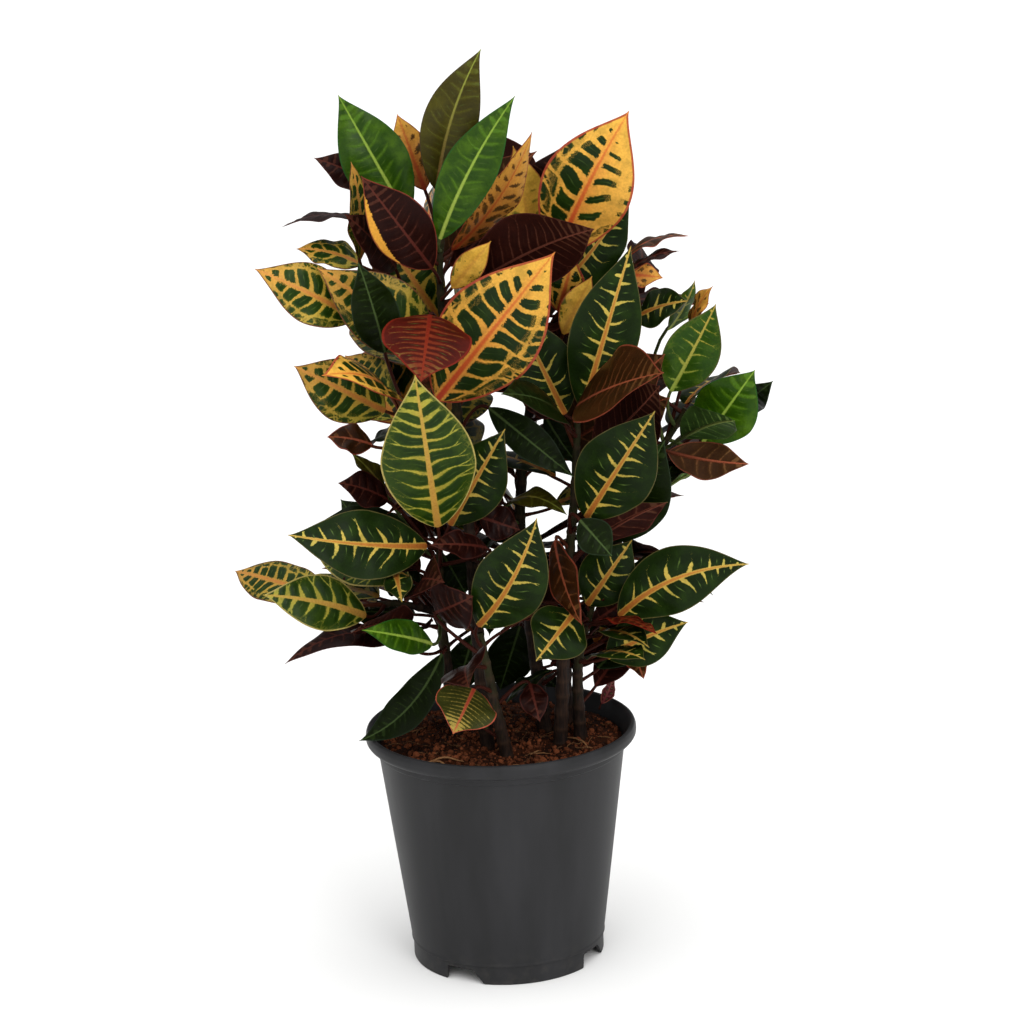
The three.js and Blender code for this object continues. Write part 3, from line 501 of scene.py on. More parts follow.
class Tone(Enum):
    """The faces of the leaves: croton leaves change from green to gold and then to red as they age."""

    FLAME = LeafFinish(
        "flame_face", "#142405", "#2f460c", ("#c98a36", "#e0ab44"), ("#b0381f", "#cd7632"),
        "#9a3c2a", rib_width=2.2, vein_width=1.2, spacing=15.5, reach=1.2, fork=0.74, spread=0.8,
        net=1.0, net_from=0.66, cell=5.8, fill=7.0, fill_from=0.6, skirt=1.9, rag=1.3, taper=0.95,
        short=0.3, close=0.7, halo=1.0, edge_width=1.7, blotch=0.3, green_out=0.15)
    GILDED = replace(FLAME, name="gilded_face", gild=2.6)
    NETTED = LeafFinish(
        "netted_face", "#182c05", "#384d10", ("#a89a34", "#c98f3e"), ("#b4702f", "#c98a42"),
        "#6e3f28", rib_width=2.2, vein_width=1.1, spacing=13.0, reach=1.1, fork=0.7, spread=1.0,
        net=0.85, net_from=0.6, cell=4.6, fill=3.6, fill_from=0.62, skirt=0.6, rag=1.2, taper=0.9,
        short=0.4, close=0.72, girth=20.0, halo=1.8, green_out=0.4)
    # Its pale edge line is partly painted highlight: the thin rim of light on the dark blade's edge.
    VEINED = LeafFinish(
        "veined_face", "#0f1c04", "#24390a", ("#b59a42", "#b0a04a"), ("#945522", "#b07a32"),
        "#57502c", rib_width=2.4, vein_width=0.95, spacing=17.0, reach=0.66, fork=0.6, spread=1.6,
        net=0.0, taper=0.4, short=0.7, halo=1.0, green_out=0.85, edge_width=0.4, fill=0.8, wax=0.1,
        flank=0.7)
    LADDER = LeafFinish(
        "ladder_face", "#162804", "#36490a", ("#8c802c", "#948c32"), ("#9a7030", "#a8883a"),
        "#9a8a4c", rib_width=2.6, vein_width=1.25, spacing=14.0, reach=0.95, fork=0.6, spread=2.6,
        net=0.35, net_from=0.74, cell=3.0, taper=0.6, short=0.25, halo=2.2, outer=0.4, edge_width=0.9)
    FRESH = LeafFinish(
        "fresh_face", "#223e04", "#42610a", ("#37590c", "#426611"), ("#98a848", "#7c9c34"),
        "#1f4a16", rib_width=1.3, vein_width=0.3, reach=0.8, fork=0.9, net=0.0, blotch=0.8, shine=0.3,
        short=0.3, blend=0.12)
    MEADOW = LeafFinish(
        "meadow_face", "#223f05", "#3d5a0a", ("#6f8a32", "#a88c34"), ("#8a9c40", "#ac903c"),
        "#54502a", rib_width=1.4, vein_width=0.5, spacing=15.0, reach=0.7, fork=0.6, net=0.12, fill=1.2,
        fill_from=0.8, blotch=0.8, shine=0.33)
    OLIVE = LeafFinish(
        "olive_face", "#342f06", "#46420a", ("#3f3f0c", "#49480e"), ("#6f4428", "#88953a"),
        "#3a2f18", rib_width=1.2, vein_width=0.3, reach=0.9, fork=0.9, net=0.0, blotch=0.8, short=0.2,
        blend=0.08, shine=0.38)
    # Nearly black green: partly the darkest leaves' own colour, partly painted shade for leaves that sit
    # in the shade inside the crown.
    DEEP = LeafFinish(
        "deep_face", "#0c1502", "#131e04", ("#18250a", "#1c290c"), ("#3c4a26", "#42542e"),
        "#1e2a1a", rib_width=0.8, vein_width=0.35, reach=0.6, fork=0.9, net=0.0, blotch=0.7, blend=0.15,
        grass="#34461c", short=0.4, wax=0.07)
    MAHOGANY = LeafFinish(
        "mahogany_face", "#190604", "#260d07", ("#341610", "#402218"), ("#421a14", "#52261d"),
        "#3c1a14", rib_width=1.1, vein_width=0.4, spacing=9.5, reach=0.8, fork=0.9, net=0.0, short=0.15,
        blend=0.2, grass="#35261a", wax=0.07)
    CRESCENT = replace(MAHOGANY, name="crescent_face", edge="#6a2e20", crescent=7.0)
    SCARLET = LeafFinish(
        "scarlet_face", "#330a04", "#55140a", ("#6c2c14", "#642a15"), ("#661a0e", "#74240f"),
        "#661a0d", rib_width=1.6, vein_width=0.9, spacing=8.5, reach=0.95, fork=0.8, net=0.0, short=0.3,
        halo=2.6, outer=0.5, edge_width=1.6, shine=0.45, green_out=0.6,
        wax=0.07)
    GOLD = LeafFinish(
        "gold_face", "#4a5218", "#a88a2c", ("#d09c38", "#dcac40"), ("#c28a34", "#d29a3c"),
        "#93492a", rib_width=1.6, vein_width=1.8, spacing=12.0, reach=1.2, fork=0.5, spread=5.0,
        net=0.9, net_from=0.3, cell=5.0, fill=8.0, fill_from=0.2, skirt=4.0, rag=1.8, taper=0.9,
        short=0.0, green_out=0.1)
    EMBER = LeafFinish(
        "ember_face", "#3a2c0c", "#6e3f16", ("#8e4420", "#d09a3c"), ("#8e3018", "#b8682c"),
        "#8c3c24", rib_width=1.7, vein_width=1.8, spacing=11.0, reach=1.2, fork=0.5, spread=4.0,
        net=0.8, net_from=0.4, cell=4.0, fill=4.0, fill_from=0.3, skirt=2.0, rag=1.8, taper=0.9,
        short=0.0, green_out=0.1)
    BRONZE = LeafFinish(
        "bronze_face", "#2a1505", "#42200a", ("#502c16", "#5a3a1c"), ("#8c4430", "#964e32"),
        "#7c3826", rib_width=1.2, vein_width=0.45, reach=0.8, fork=0.8, net=0.1, edge_width=1.0,
        short=0.2, grass="#4a3a1a")
    STRIPED = LeafFinish(
        "striped_face", "#2c2f10", "#403f16", ("#857433", "#94803c"), ("#9c3828", "#a84a36"),
        "#a04834", rib_width=1.5, vein_width=0.25, spacing=5.0, reach=0.9, fork=0.9, net=0.0,
        edge_width=0.6, blotch=0.8, short=0.0, blend=0.1, grass="#857433")
    FALLEN = LeafFinish(
        "dried_face", "#3a0f14", "#5a1c1f", ("#763538", "#7e4240"), ("#66282a", "#80423c"),
        "#905040", rib_width=0.8, vein_width=0.3, spacing=5.0, reach=0.9, net=0.0, shine=0.6)

    @property
    def under(self) -> Under:
        """Gives the underside that goes with this face.

        Returns:
            Green for young leaves, bronze for the gold and red ones, maroon for the rest.
        """
        if self in (Tone.FRESH, Tone.MEADOW, Tone.OLIVE):
            return Under.GREEN
        warm = self in (Tone.FLAME, Tone.GILDED, Tone.GOLD, Tone.BRONZE, Tone.NETTED)
        return Under.BRONZE if warm else Under.MAROON


@dataclass(frozen=True)
class BarkFinish:
    """Croton bark: thin grey-brown cork over green wood, grown and cracked lengthways.

    It gives the eye a dull surface with fine upright streaks, pale where leaves have dropped.
    """

    name: str = "croton_bark"
    # All four colours sit well below the grey-brown of the cork: painted shade for wood inside the crown.
    old: str = "#140b07"
    worn: str = "#2a1a11"
    young: str = "#26280f"
    scar: str = "#3c291c"  # where a leaf has dropped
    streak: float = 1.6  # millimetres between cracks
    patch: float = 9.0  # millimetres across a patch of younger bark

    def material(self) -> bpy.types.Material:
        """Builds the bark from each stem's own place and age.

        Returns:
            The material.
        """
        sheet = Sheet(self.name)
        add = sheet.add
        place = add("Attribute", attribute_name="stem_place").outputs["Vector"]
        age = add("SeparateXYZ", (add("Attribute", attribute_name="stem_age").outputs["Vector"],))
        long = add("VectorMath.MULTIPLY", (place, (1.0, 1.0, 0.16)))
        cracks = add("TexNoise", {"Vector": long, "Scale": 1 / self.streak, "Detail": 4.0}).outputs[0]
        patches = add("TexNoise", {"Vector": place, "Scale": 1 / self.patch, "Detail": 3.0}).outputs[0]
        wear = add("MapRange", (cracks, 0.4, 0.66, 0.0, 1.0))
        cork = add("Mix", {0: wear, 6: self.old, 7: self.worn})
        green = add("Math.MULTIPLY", (age.outputs["X"], patches))
        greened = add("MapRange", (green, 0.2, 0.5, 0.0, 0.85))
        colour = add("Mix", {0: greened, 6: cork, 7: self.young})
        scars = add("Mix", {0: age.outputs["Y"], 6: colour, 7: self.scar})
        return sheet.finish({
            "Base Color": scars,
            "Roughness": add("MapRange", (patches, 0.3, 0.7, 0.62, 0.82)),
            "Specular IOR Level": 0.15,
            "Normal": add("Bump", {"Height": cracks, "Strength": 0.7, "Distance": 0.0007}),
        })


@dataclass(frozen=True)
class PeatFinish:
    """Peat and bark compost: loose damp crumbs, which look dark, rough and without shine."""

    name: str
    dark: str
    light: str
    grain: float  # millimetres across a grain
    patch: float = 24.0  # millimetres across a damp patch

    def material(self) -> bpy.types.Material:
        """Builds the compost, mottled by crumb and by patch.

        Returns:
            The material.
        """
        sheet = Sheet(self.name)
        add = sheet.add
        place = add("TexCoord").outputs["Object"]
        tone = add("SeparateXYZ", (add("Attribute", attribute_name="grain_tone").outputs["Vector"],))
        grains = add("TexNoise", {"Vector": place, "Scale": 1000 / self.grain, "Detail": 5.0}).outputs[0]
        patches = add("TexNoise", {"Vector": place, "Scale": 1000 / self.patch, "Detail": 2.0}).outputs[0]
        mixed = add("Math.ADD", (grains, patches))
        toned = add("Math.MULTIPLY_ADD", (tone.outputs["X"], 0.55, mixed))
        amount = add("MapRange", (toned, 0.9, 1.65, 0.0, 1.0))
        colour = add("Mix", {0: amount, 6: self.dark, 7: self.light})
        return sheet.finish({
            "Base Color": colour,
            "Roughness": add("MapRange", (grains, 0.3, 0.7, 0.8, 0.97)),
            "Specular IOR Level": 0.1,
            "Normal": add("Bump", {"Height": grains, "Strength": 0.9, "Distance": 0.0012}),
        })


@dataclass(frozen=True)
class PotFinish:
    """Injection-moulded black-grey polypropylene: a satin skin with faint flow marks and a fine grain.

    It gives the eye one wide soft highlight, a little clearer on the rim, and dusty marks low down.
    """

    name: str = "moulded_polypropylene"
    body: str = "#272728"
    chalk: str = "#333335"
    dust: str = "#3d3b38"
    flow: float = 26.0  # millimetres between flow marks
    grain: float = 0.5  # millimetres across
    scuff: float = 7.0  # millimetres across
    dust_height: float = 0.03  # metres up the wall

    def material(self) -> bpy.types.Material:
        """Builds the plastic.

        Returns:
            The material.
        """
        sheet = Sheet(self.name)
        add = sheet.add
        place = add("TexCoord").outputs["Object"]
        long = add("VectorMath.MULTIPLY", (place, (1.0, 1.0, 0.12)))
        flow = add("TexNoise", {"Vector": long, "Scale": 1000 / self.flow, "Detail": 3.0}).outputs[0]
        grain = add("TexNoise", {"Vector": place, "Scale": 1000 / self.grain, "Detail": 2.0}).outputs[0]
        scuffs = add("TexNoise", {"Vector": place, "Scale": 1000 / self.scuff, "Detail": 6.0}).outputs[0]
        height = add("SeparateXYZ", (place,)).outputs["Z"]
        low = add("MapRange", (height, self.dust_height, 0.0, 0.0, 0.5))
        dusty = add("Math.MULTIPLY", (low, add("MapRange", (scuffs, 0.45, 0.7, 0.0, 1.0))))
        marks = add("MapRange", (flow, 0.38, 0.72, 0.0, 0.6))
        plain = add("Mix", {0: marks, 6: self.body, 7: self.chalk})
        colour = add("Mix", {0: dusty, 6: plain, 7: self.dust})
        return sheet.finish({
            "Base Color": colour,
            "Roughness": add("MapRange", (flow, 0.3, 0.7, 0.4, 0.5)),
            "IOR": 1.49,
            "Specular IOR Level": 0.1,
            "Normal": add("Bump", {"Height": grain, "Strength": 0.12, "Distance": 0.0003}),
        })


@dataclass(frozen=True)
class FloorFinish:
    """Painted studio floor: matt white paint, rolled on, which looks even and pale."""

    name: str = "matt_white_floor_paint"
    paint: str = "#f7f7f6"

    def material(self) -> bpy.types.Material:
        """Builds the paint, with the faint stipple of a roller.

        Returns:
            The material.
        """
        sheet = Sheet(self.name)
        stipple = sheet.add("TexNoise", {"Scale": 60.0, "Detail": 2.0}).outputs[0]
        return sheet.finish({
            "Base Color": self.paint,
            "Roughness": sheet.add("MapRange", (stipple, 0.3, 0.7, 0.85, 0.95)),
        })


@cache
def finished(finish: Any) -> bpy.types.Material:
    """Makes the material of a finish, or of a Tone or Under that holds one, the first time only."""
    return (finish.value if isinstance(finish, Enum) else finish).material()


# ---- meshes


@dataclass
class Skin:
    """One piece's mesh while it is put together from closed lofts.

    Each loft is unrolled to a rectangle of its real size, and the rectangles are packed side by
    side on the piece's own map.
    """

    points: list[np.ndarray] = field(default_factory=list)
    faces: list[np.ndarray] = field(default_factory=list)
    slots: list[np.ndarray] = field(default_factory=list)
    plans: list[np.ndarray] = field(default_factory=list)
    fields: dict[str, list[np.ndarray]] = field(default_factory=dict)
    count: int = 0
    least_gap: float = 0.4  # on the map, between columns
    margin: float = 1.0  # on the map, round a rectangle

    def loft(self, rings: np.ndarray, slots: Sequence[int], **fields: np.ndarray) -> None:
        """Adds a closed skin over rings of points, with a flat strip at each end.

        Args:
            rings: the points in millimetres, by ring and by place round it, an even number.
            slots: the material slot of each column of faces.
            fields: named vectors for every point, shaped as the rings are.
        """
        rows, columns = rings.shape[:2]
        index = self.count + np.arange(rows * columns).reshape(rows, columns)
        ahead = np.roll(index, -1, axis=1)
        sides = np.stack([index[:-1], ahead[:-1], ahead[1:], index[1:]], axis=-1)
        gaps = np.linalg.norm(np.roll(rings, -1, axis=1) - rings, axis=-1).max(axis=0)
        x = np.concatenate([[0.0], np.cumsum(np.maximum(gaps, self.least_gap))])
        steps = np.linalg.norm(np.diff(rings, axis=0), axis=-1).max(axis=1)
        y = np.concatenate([[0.0], np.cumsum(np.maximum(steps, self.least_gap / 2))])
        plan = np.empty((rows - 1, columns, 4, 2))
        plan[..., 0] = np.stack([x[:-1], x[1:], x[1:], x[:-1]], axis=-1)
        plan[..., 1] = np.stack([y[:-1], y[:-1], y[1:], y[1:]], axis=-1)[:, None]
        half = np.arange(columns // 2 - 1)
        near, far = half, columns - 1 - half
        caps, cap_plans = [], []
        for row, level in ((0, -2.0), (rows - 1, y[-1] + 1.0)):
            cap = np.stack([index[row, k] for k in (near, far, far - 1, near + 1)], -1)
            place = np.stack([x[near], x[near], x[near + 1], x[near + 1]], -1)
            rise = np.broadcast_to([level, level + 1, level + 1, level], place.shape)
            turned = slice(None, None, 1 if row == 0 else -1)
            caps.append(cap[:, turned])
            cap_plans.append(np.stack([place, rise], -1)[:, turned])
        faces = np.concatenate([sides.reshape(-1, 4), *caps])
        plans = np.concatenate([plan.reshape(-1, 4, 2), *cap_plans])
        corner = rings.reshape(-1, 3)[faces - self.count] - rings.mean(axis=(0, 1))
        volume = np.einsum("ij,ij->", corner[:, 0], np.cross(corner[:, 1], corner[:, 2]))
        volume += np.einsum("ij,ij->", corner[:, 0], np.cross(corner[:, 2], corner[:, 3]))
        if volume < 0:
            faces, plans = faces[:, ::-1], plans[:, ::-1]
        self.points.append(rings.reshape(-1, 3))
        self.faces.append(faces)
        self.plans.append(plans - plans.min(axis=(0, 1)))
        self.slots.append(np.concatenate([np.tile(slots, rows - 1),
                                          np.full(len(faces) - sides.size // 4, slots[0])]))
        for name, values in fields.items():
            self.fields.setdefault(name, []).append(values.reshape(-1, 3))
        self.count += rows * columns

    def packed(self) -> np.ndarray:
        """Packs the rectangles in rows.

        Returns:
            Each face corner's place on the square map.
        """
        sizes = np.array([plan.reshape(-1, 2).max(axis=0) for plan in self.plans]) + 2 * self.margin
        side = max(math.sqrt(float(np.prod(sizes, axis=1).sum())) * 1.06, float(sizes[:, 0].max()))
        places = np.zeros_like(sizes)
        x = y = shelf = 0.0
        for k in np.argsort(-sizes[:, 1], kind="stable"):
            if x + sizes[k, 0] > side:
                x, y, shelf = 0.0, y + shelf, 0.0
            places[k] = x + self.margin, y + self.margin
            x, shelf = x + sizes[k, 0], max(shelf, sizes[k, 1])
        whole = max(side, y + shelf) + self.margin
        placed = [(plan + place).reshape(-1, 2) for plan, place in zip(self.plans, places)]
        return np.concatenate(placed) / whole

    def build(self, name: str, materials: Sequence[bpy.types.Material], crease: float = 50.0
              ) -> bpy.types.Object:
        """Makes the piece.

        Args:
            name: the piece's name.
            materials: by slot.
            crease: edges sharper than this many degrees stay sharp.

        Returns:
            The new object, linked to the scene.
        """
        mesh = bpy.data.meshes.new(name)
        faces = np.concatenate(self.faces)
        mesh.from_pydata((np.concatenate(self.points) * MM).tolist(), [], faces.tolist())
        for material in materials:
            mesh.materials.append(material)
        mesh.polygons.foreach_set("material_index", np.concatenate(self.slots).astype(np.int32))
        mesh.polygons.foreach_set("use_smooth", np.ones(len(faces), bool))
        bake = mesh.uv_layers.new(name=BAKE_MAP)
        bake.data.foreach_set("uv", self.packed().astype(np.float32).ravel())
        for key, values in self.fields.items():
            made = mesh.attributes.new(key, "FLOAT_VECTOR", "POINT")
            made.data.foreach_set("vector", np.concatenate(values).astype(np.float32).ravel())
        mesh.set_sharp_from_angle(angle=math.radians(crease))
        return show(bpy.data.objects.new(name, mesh))


def dress(piece: bpy.types.Object, node: str) -> bpy.types.Object:
    """Sets a finished piece on the frame.

    Args:
        piece: the piece, in place.
        node: the CAD node that it stands for.

    Returns:
        The piece.
    """
    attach(piece, "root")
    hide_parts(node)
    LOG.info("%s: %d faces, for node %s", piece.name, len(piece.data.polygons), node)
    return piece


def tube_rings(path: np.ndarray, radii: np.ndarray, sides: int) -> np.ndarray:
    """Sets round rings square to a path, without twist.

    Args:
        path: the points of the middle line.
        radii: the radius at each point.
        sides: the number of points in a ring.

    Returns:
        The rings, shaped (points, sides, 3).
    """
    along = unit(np.gradient(path, axis=0))
    side = np.array((1.0, 0.0, 0.0)) if abs(along[0][0]) < 0.9 else np.array((0.0, 1.0, 0.0))
    angles = np.arange(sides) * 2 * math.pi / sides
    rings = []
    for point, heading, radius in zip(path, along, radii):
        side = unit(side - (side @ heading) * heading)
        other = np.cross(heading, side)
        ring = np.cos(angles)[:, None] * side + np.sin(angles)[:, None] * other
        rings.append(point + radius * ring)
    return np.array(rings)


def smooth_line(points: Sequence[np.ndarray], steps: int = 24) -> np.ndarray:
    """Runs a uniform Catmull-Rom curve through points.

    Args:
        points: two or more points.
        steps: the number of steps between two points.

    Returns:
        The points of the curve, steps * (number of points - 1) + 1 of them.
    """
    knots = [2 * points[0] - points[1], *points, 2 * points[-1] - points[-2]]
    line = []
    for k in range(len(points) - 1):
        before, start, end, after = knots[k:k + 4]
        leave, arrive = (end - before) / 2, (after - start) / 2
        for t in np.arange(steps) / steps:
            line.append(start + t * leave + t * t * (3 * (end - start) - 2 * leave - arrive)
                        + t ** 3 * (2 * (start - end) + leave + arrive))
    return np.array([*line, points[-1]])


def path_length(path: np.ndarray) -> np.ndarray:
    """Gives the length from the start of a path to each of its points."""
    return np.concatenate([[0.0], np.cumsum(np.linalg.norm(np.diff(path, axis=0), axis=1))])


# ---- the photograph's view


@dataclass(frozen=True)
class PhotoView:
    """The pinhole camera that the plant is seen with, in front of it and a little above."""

    eye: tuple[float, float, float] = (0.0, -2006.0, 853.0)
    focal: float = 2715.0  # in pixels
    side: float = 1024.0  # of the picture, in pixels
    pitch: float = 13.955  # degrees down
    yaw: float = 0.417
    roll: float = -2.051
    sensor: float = 36.0

    def axes(self) -> tuple[np.ndarray, np.ndarray, np.ndarray]:
        """Works out how the camera stands.

        Returns:
            The unit vectors ahead, across to the right and up in the picture.
        """
        ahead = direction(90 - self.yaw, -self.pitch)
        across = turn_about(unit(np.cross(ahead, UP)), ahead, -self.roll)
        return ahead, across, np.cross(across, ahead)

    def place(self, spot: Sequence[float]) -> np.ndarray:
        """Gives the point that shows at a spot.

        Args:
            spot: pixels across and down, and millimetres behind the pot's axis.

        Returns:
            The point in millimetres.
        """
        ahead, across, up = self.axes()
        middle, eye = self.side / 2, np.array(self.eye)
        ray = ahead + across * (spot[0] - middle) / self.focal + up * (middle - spot[1]) / self.focal
        return eye + ray * (spot[2] - eye[1]) / ray[1]

    def spots(self, points: Sequence[Sequence[float]]) -> np.ndarray:
        """Finds where points show.

        Args:
            points: in millimetres.

        Returns:
            Their pixels across and down.
        """
        ahead, across, up = self.axes()
        rays = np.array(points) - np.array(self.eye)
        flat = np.stack((rays @ across, -rays @ up), axis=1)
        return self.side / 2 + self.focal * flat / (rays @ ahead)[:, None]

    def camera(self) -> None:
        """Makes the scene's camera."""
        ahead, across, up = self.axes()
        data = bpy.data.cameras.new("photo_camera")
        data.sensor_width = self.sensor
        data.lens = self.focal * self.sensor / self.side
        data.clip_end = 200.0
        made = show(bpy.data.objects.new("photo_camera", data))
        turn = Matrix((across, up, -ahead)).transposed().to_4x4()
        made.matrix_world = Matrix.Translation(Vector(self.eye) * MM) @ turn
        bpy.context.scene.camera = made


VIEW = PhotoView()


# ---- leaves


@dataclass(frozen=True)
class LeafPlan:
    """A large leaf that shows from the front: where its tip and heel show, its size and its tone."""

    tip: tuple[float, float, float]
    heel: tuple[float, float, float]
    width: float
    tone: Tone
    arch: float  # parts of the length, as the sweep is
    fold: float  # degrees, as the roll is
    roll: float = 0.0
    sweep: float = 0.0


@dataclass(frozen=True)
class BranchPlan:
    """A branch: its share of the trunk's length, the places it runs to, and its further leaves."""

    at: float
    to: tuple[tuple[float, float, float], ...]
    more: int
    start: float = 0.3


@dataclass(frozen=True)
class StemPlan:
    """A leafy stem, with the tones that its further leaves are drawn from."""

    name: str
    seed: int
    outward: float  # azimuth that its further leaves spread about, in degrees
    more: int  # further leaves
    start: float  # share of the trunk where they start
    trunk: tuple[tuple[float, float, float], ...]
    branches: tuple[BranchPlan, ...]
    palette: tuple[Tone, ...]
    leaves: tuple[LeafPlan, ...]
    retones: tuple[tuple[float, float, Tone], ...] = ()  # of further leaves, by where the tip shows


@dataclass
class Blade:
    """A leaf in its place: a blade with a folded, cupped and waved section, and its stalk."""

    tip: np.ndarray
    heel: np.ndarray
    face: np.ndarray
    root: np.ndarray
    width: float
    arch: float
    fold: float
    roll: float = 0.0
    sweep: float = 0.0
    twist: float = 0.0  # degrees, from heel to tip
    wave: float = 1.6  # of the edge, in millimetres
    cup: float = 0.16
    phase: float = 0.0  # of the wave
    chance: float = 0.0  # the leaf's own draw
    front: bool = True
    tone: Tone = Tone.VEINED

    def __post_init__(self) -> None:
        """Works out the frame that the blade is drawn in."""
        self.chord = self.tip - self.heel
        self.length = float(np.linalg.norm(self.chord))
        along = self.chord / self.length
        flat = unit(self.face - (self.face @ along) * along)
        self.face = turn_about(flat, along, self.roll)
        self.side = np.cross(along, self.face)

    def midline(self, shares: np.ndarray) -> tuple[np.ndarray, np.ndarray, np.ndarray, np.ndarray]:
        """Gives the middle line.

        Args:
            shares: from 0 at the heel to 1 at the tip.

        Returns:
            At each share the point, the unit vector along, the one up and the one across.
        """
        t = np.asarray(shares, float)[:, None]
        rise, slope = 4 * t * (1 - t) * self.length, 4 * (1 - 2 * t) * self.length
        point = self.heel + t * self.chord + self.face * self.arch * rise + self.side * self.sweep * rise
        tangent = unit(self.chord + self.face * self.arch * slope + self.side * self.sweep * slope)
        flat = unit(self.face - (tangent @ self.face)[:, None] * tangent)
        up = turn_about(flat, tangent, self.twist * t[:, 0])
        return point, tangent, up, np.cross(tangent, up)

    def tip_corners(self, half_thick: float) -> np.ndarray:
        """Gives the two corners at the tip of the CAD's blade."""
        point, _, up, _ = self.midline(np.array([1.0]))
        return np.array([point[0] + up[0] * half_thick, point[0] - up[0] * half_thick])

    def stalk(self) -> tuple[np.ndarray, np.ndarray]:
        """Works out the stalk's bend.

        Returns:
            The place of the bend and the stalk's direction there.
        """
        _, tangent, _, _ = self.midline(np.array([0.0]))
        bend = self.heel - tangent[0] * 0.4 * np.linalg.norm(self.heel - self.root)
        return bend, unit(unit(bend - self.root) + tangent[0])

    def half_width(self, shares: np.ndarray) -> np.ndarray:
        """Gives half the blade's width: a rounded heel, widest below the middle, a sharp tip."""
        return self.width / 2 * np.sin(math.pi * shares ** 0.9).clip(0) ** (0.75 + 0.45 * shares)


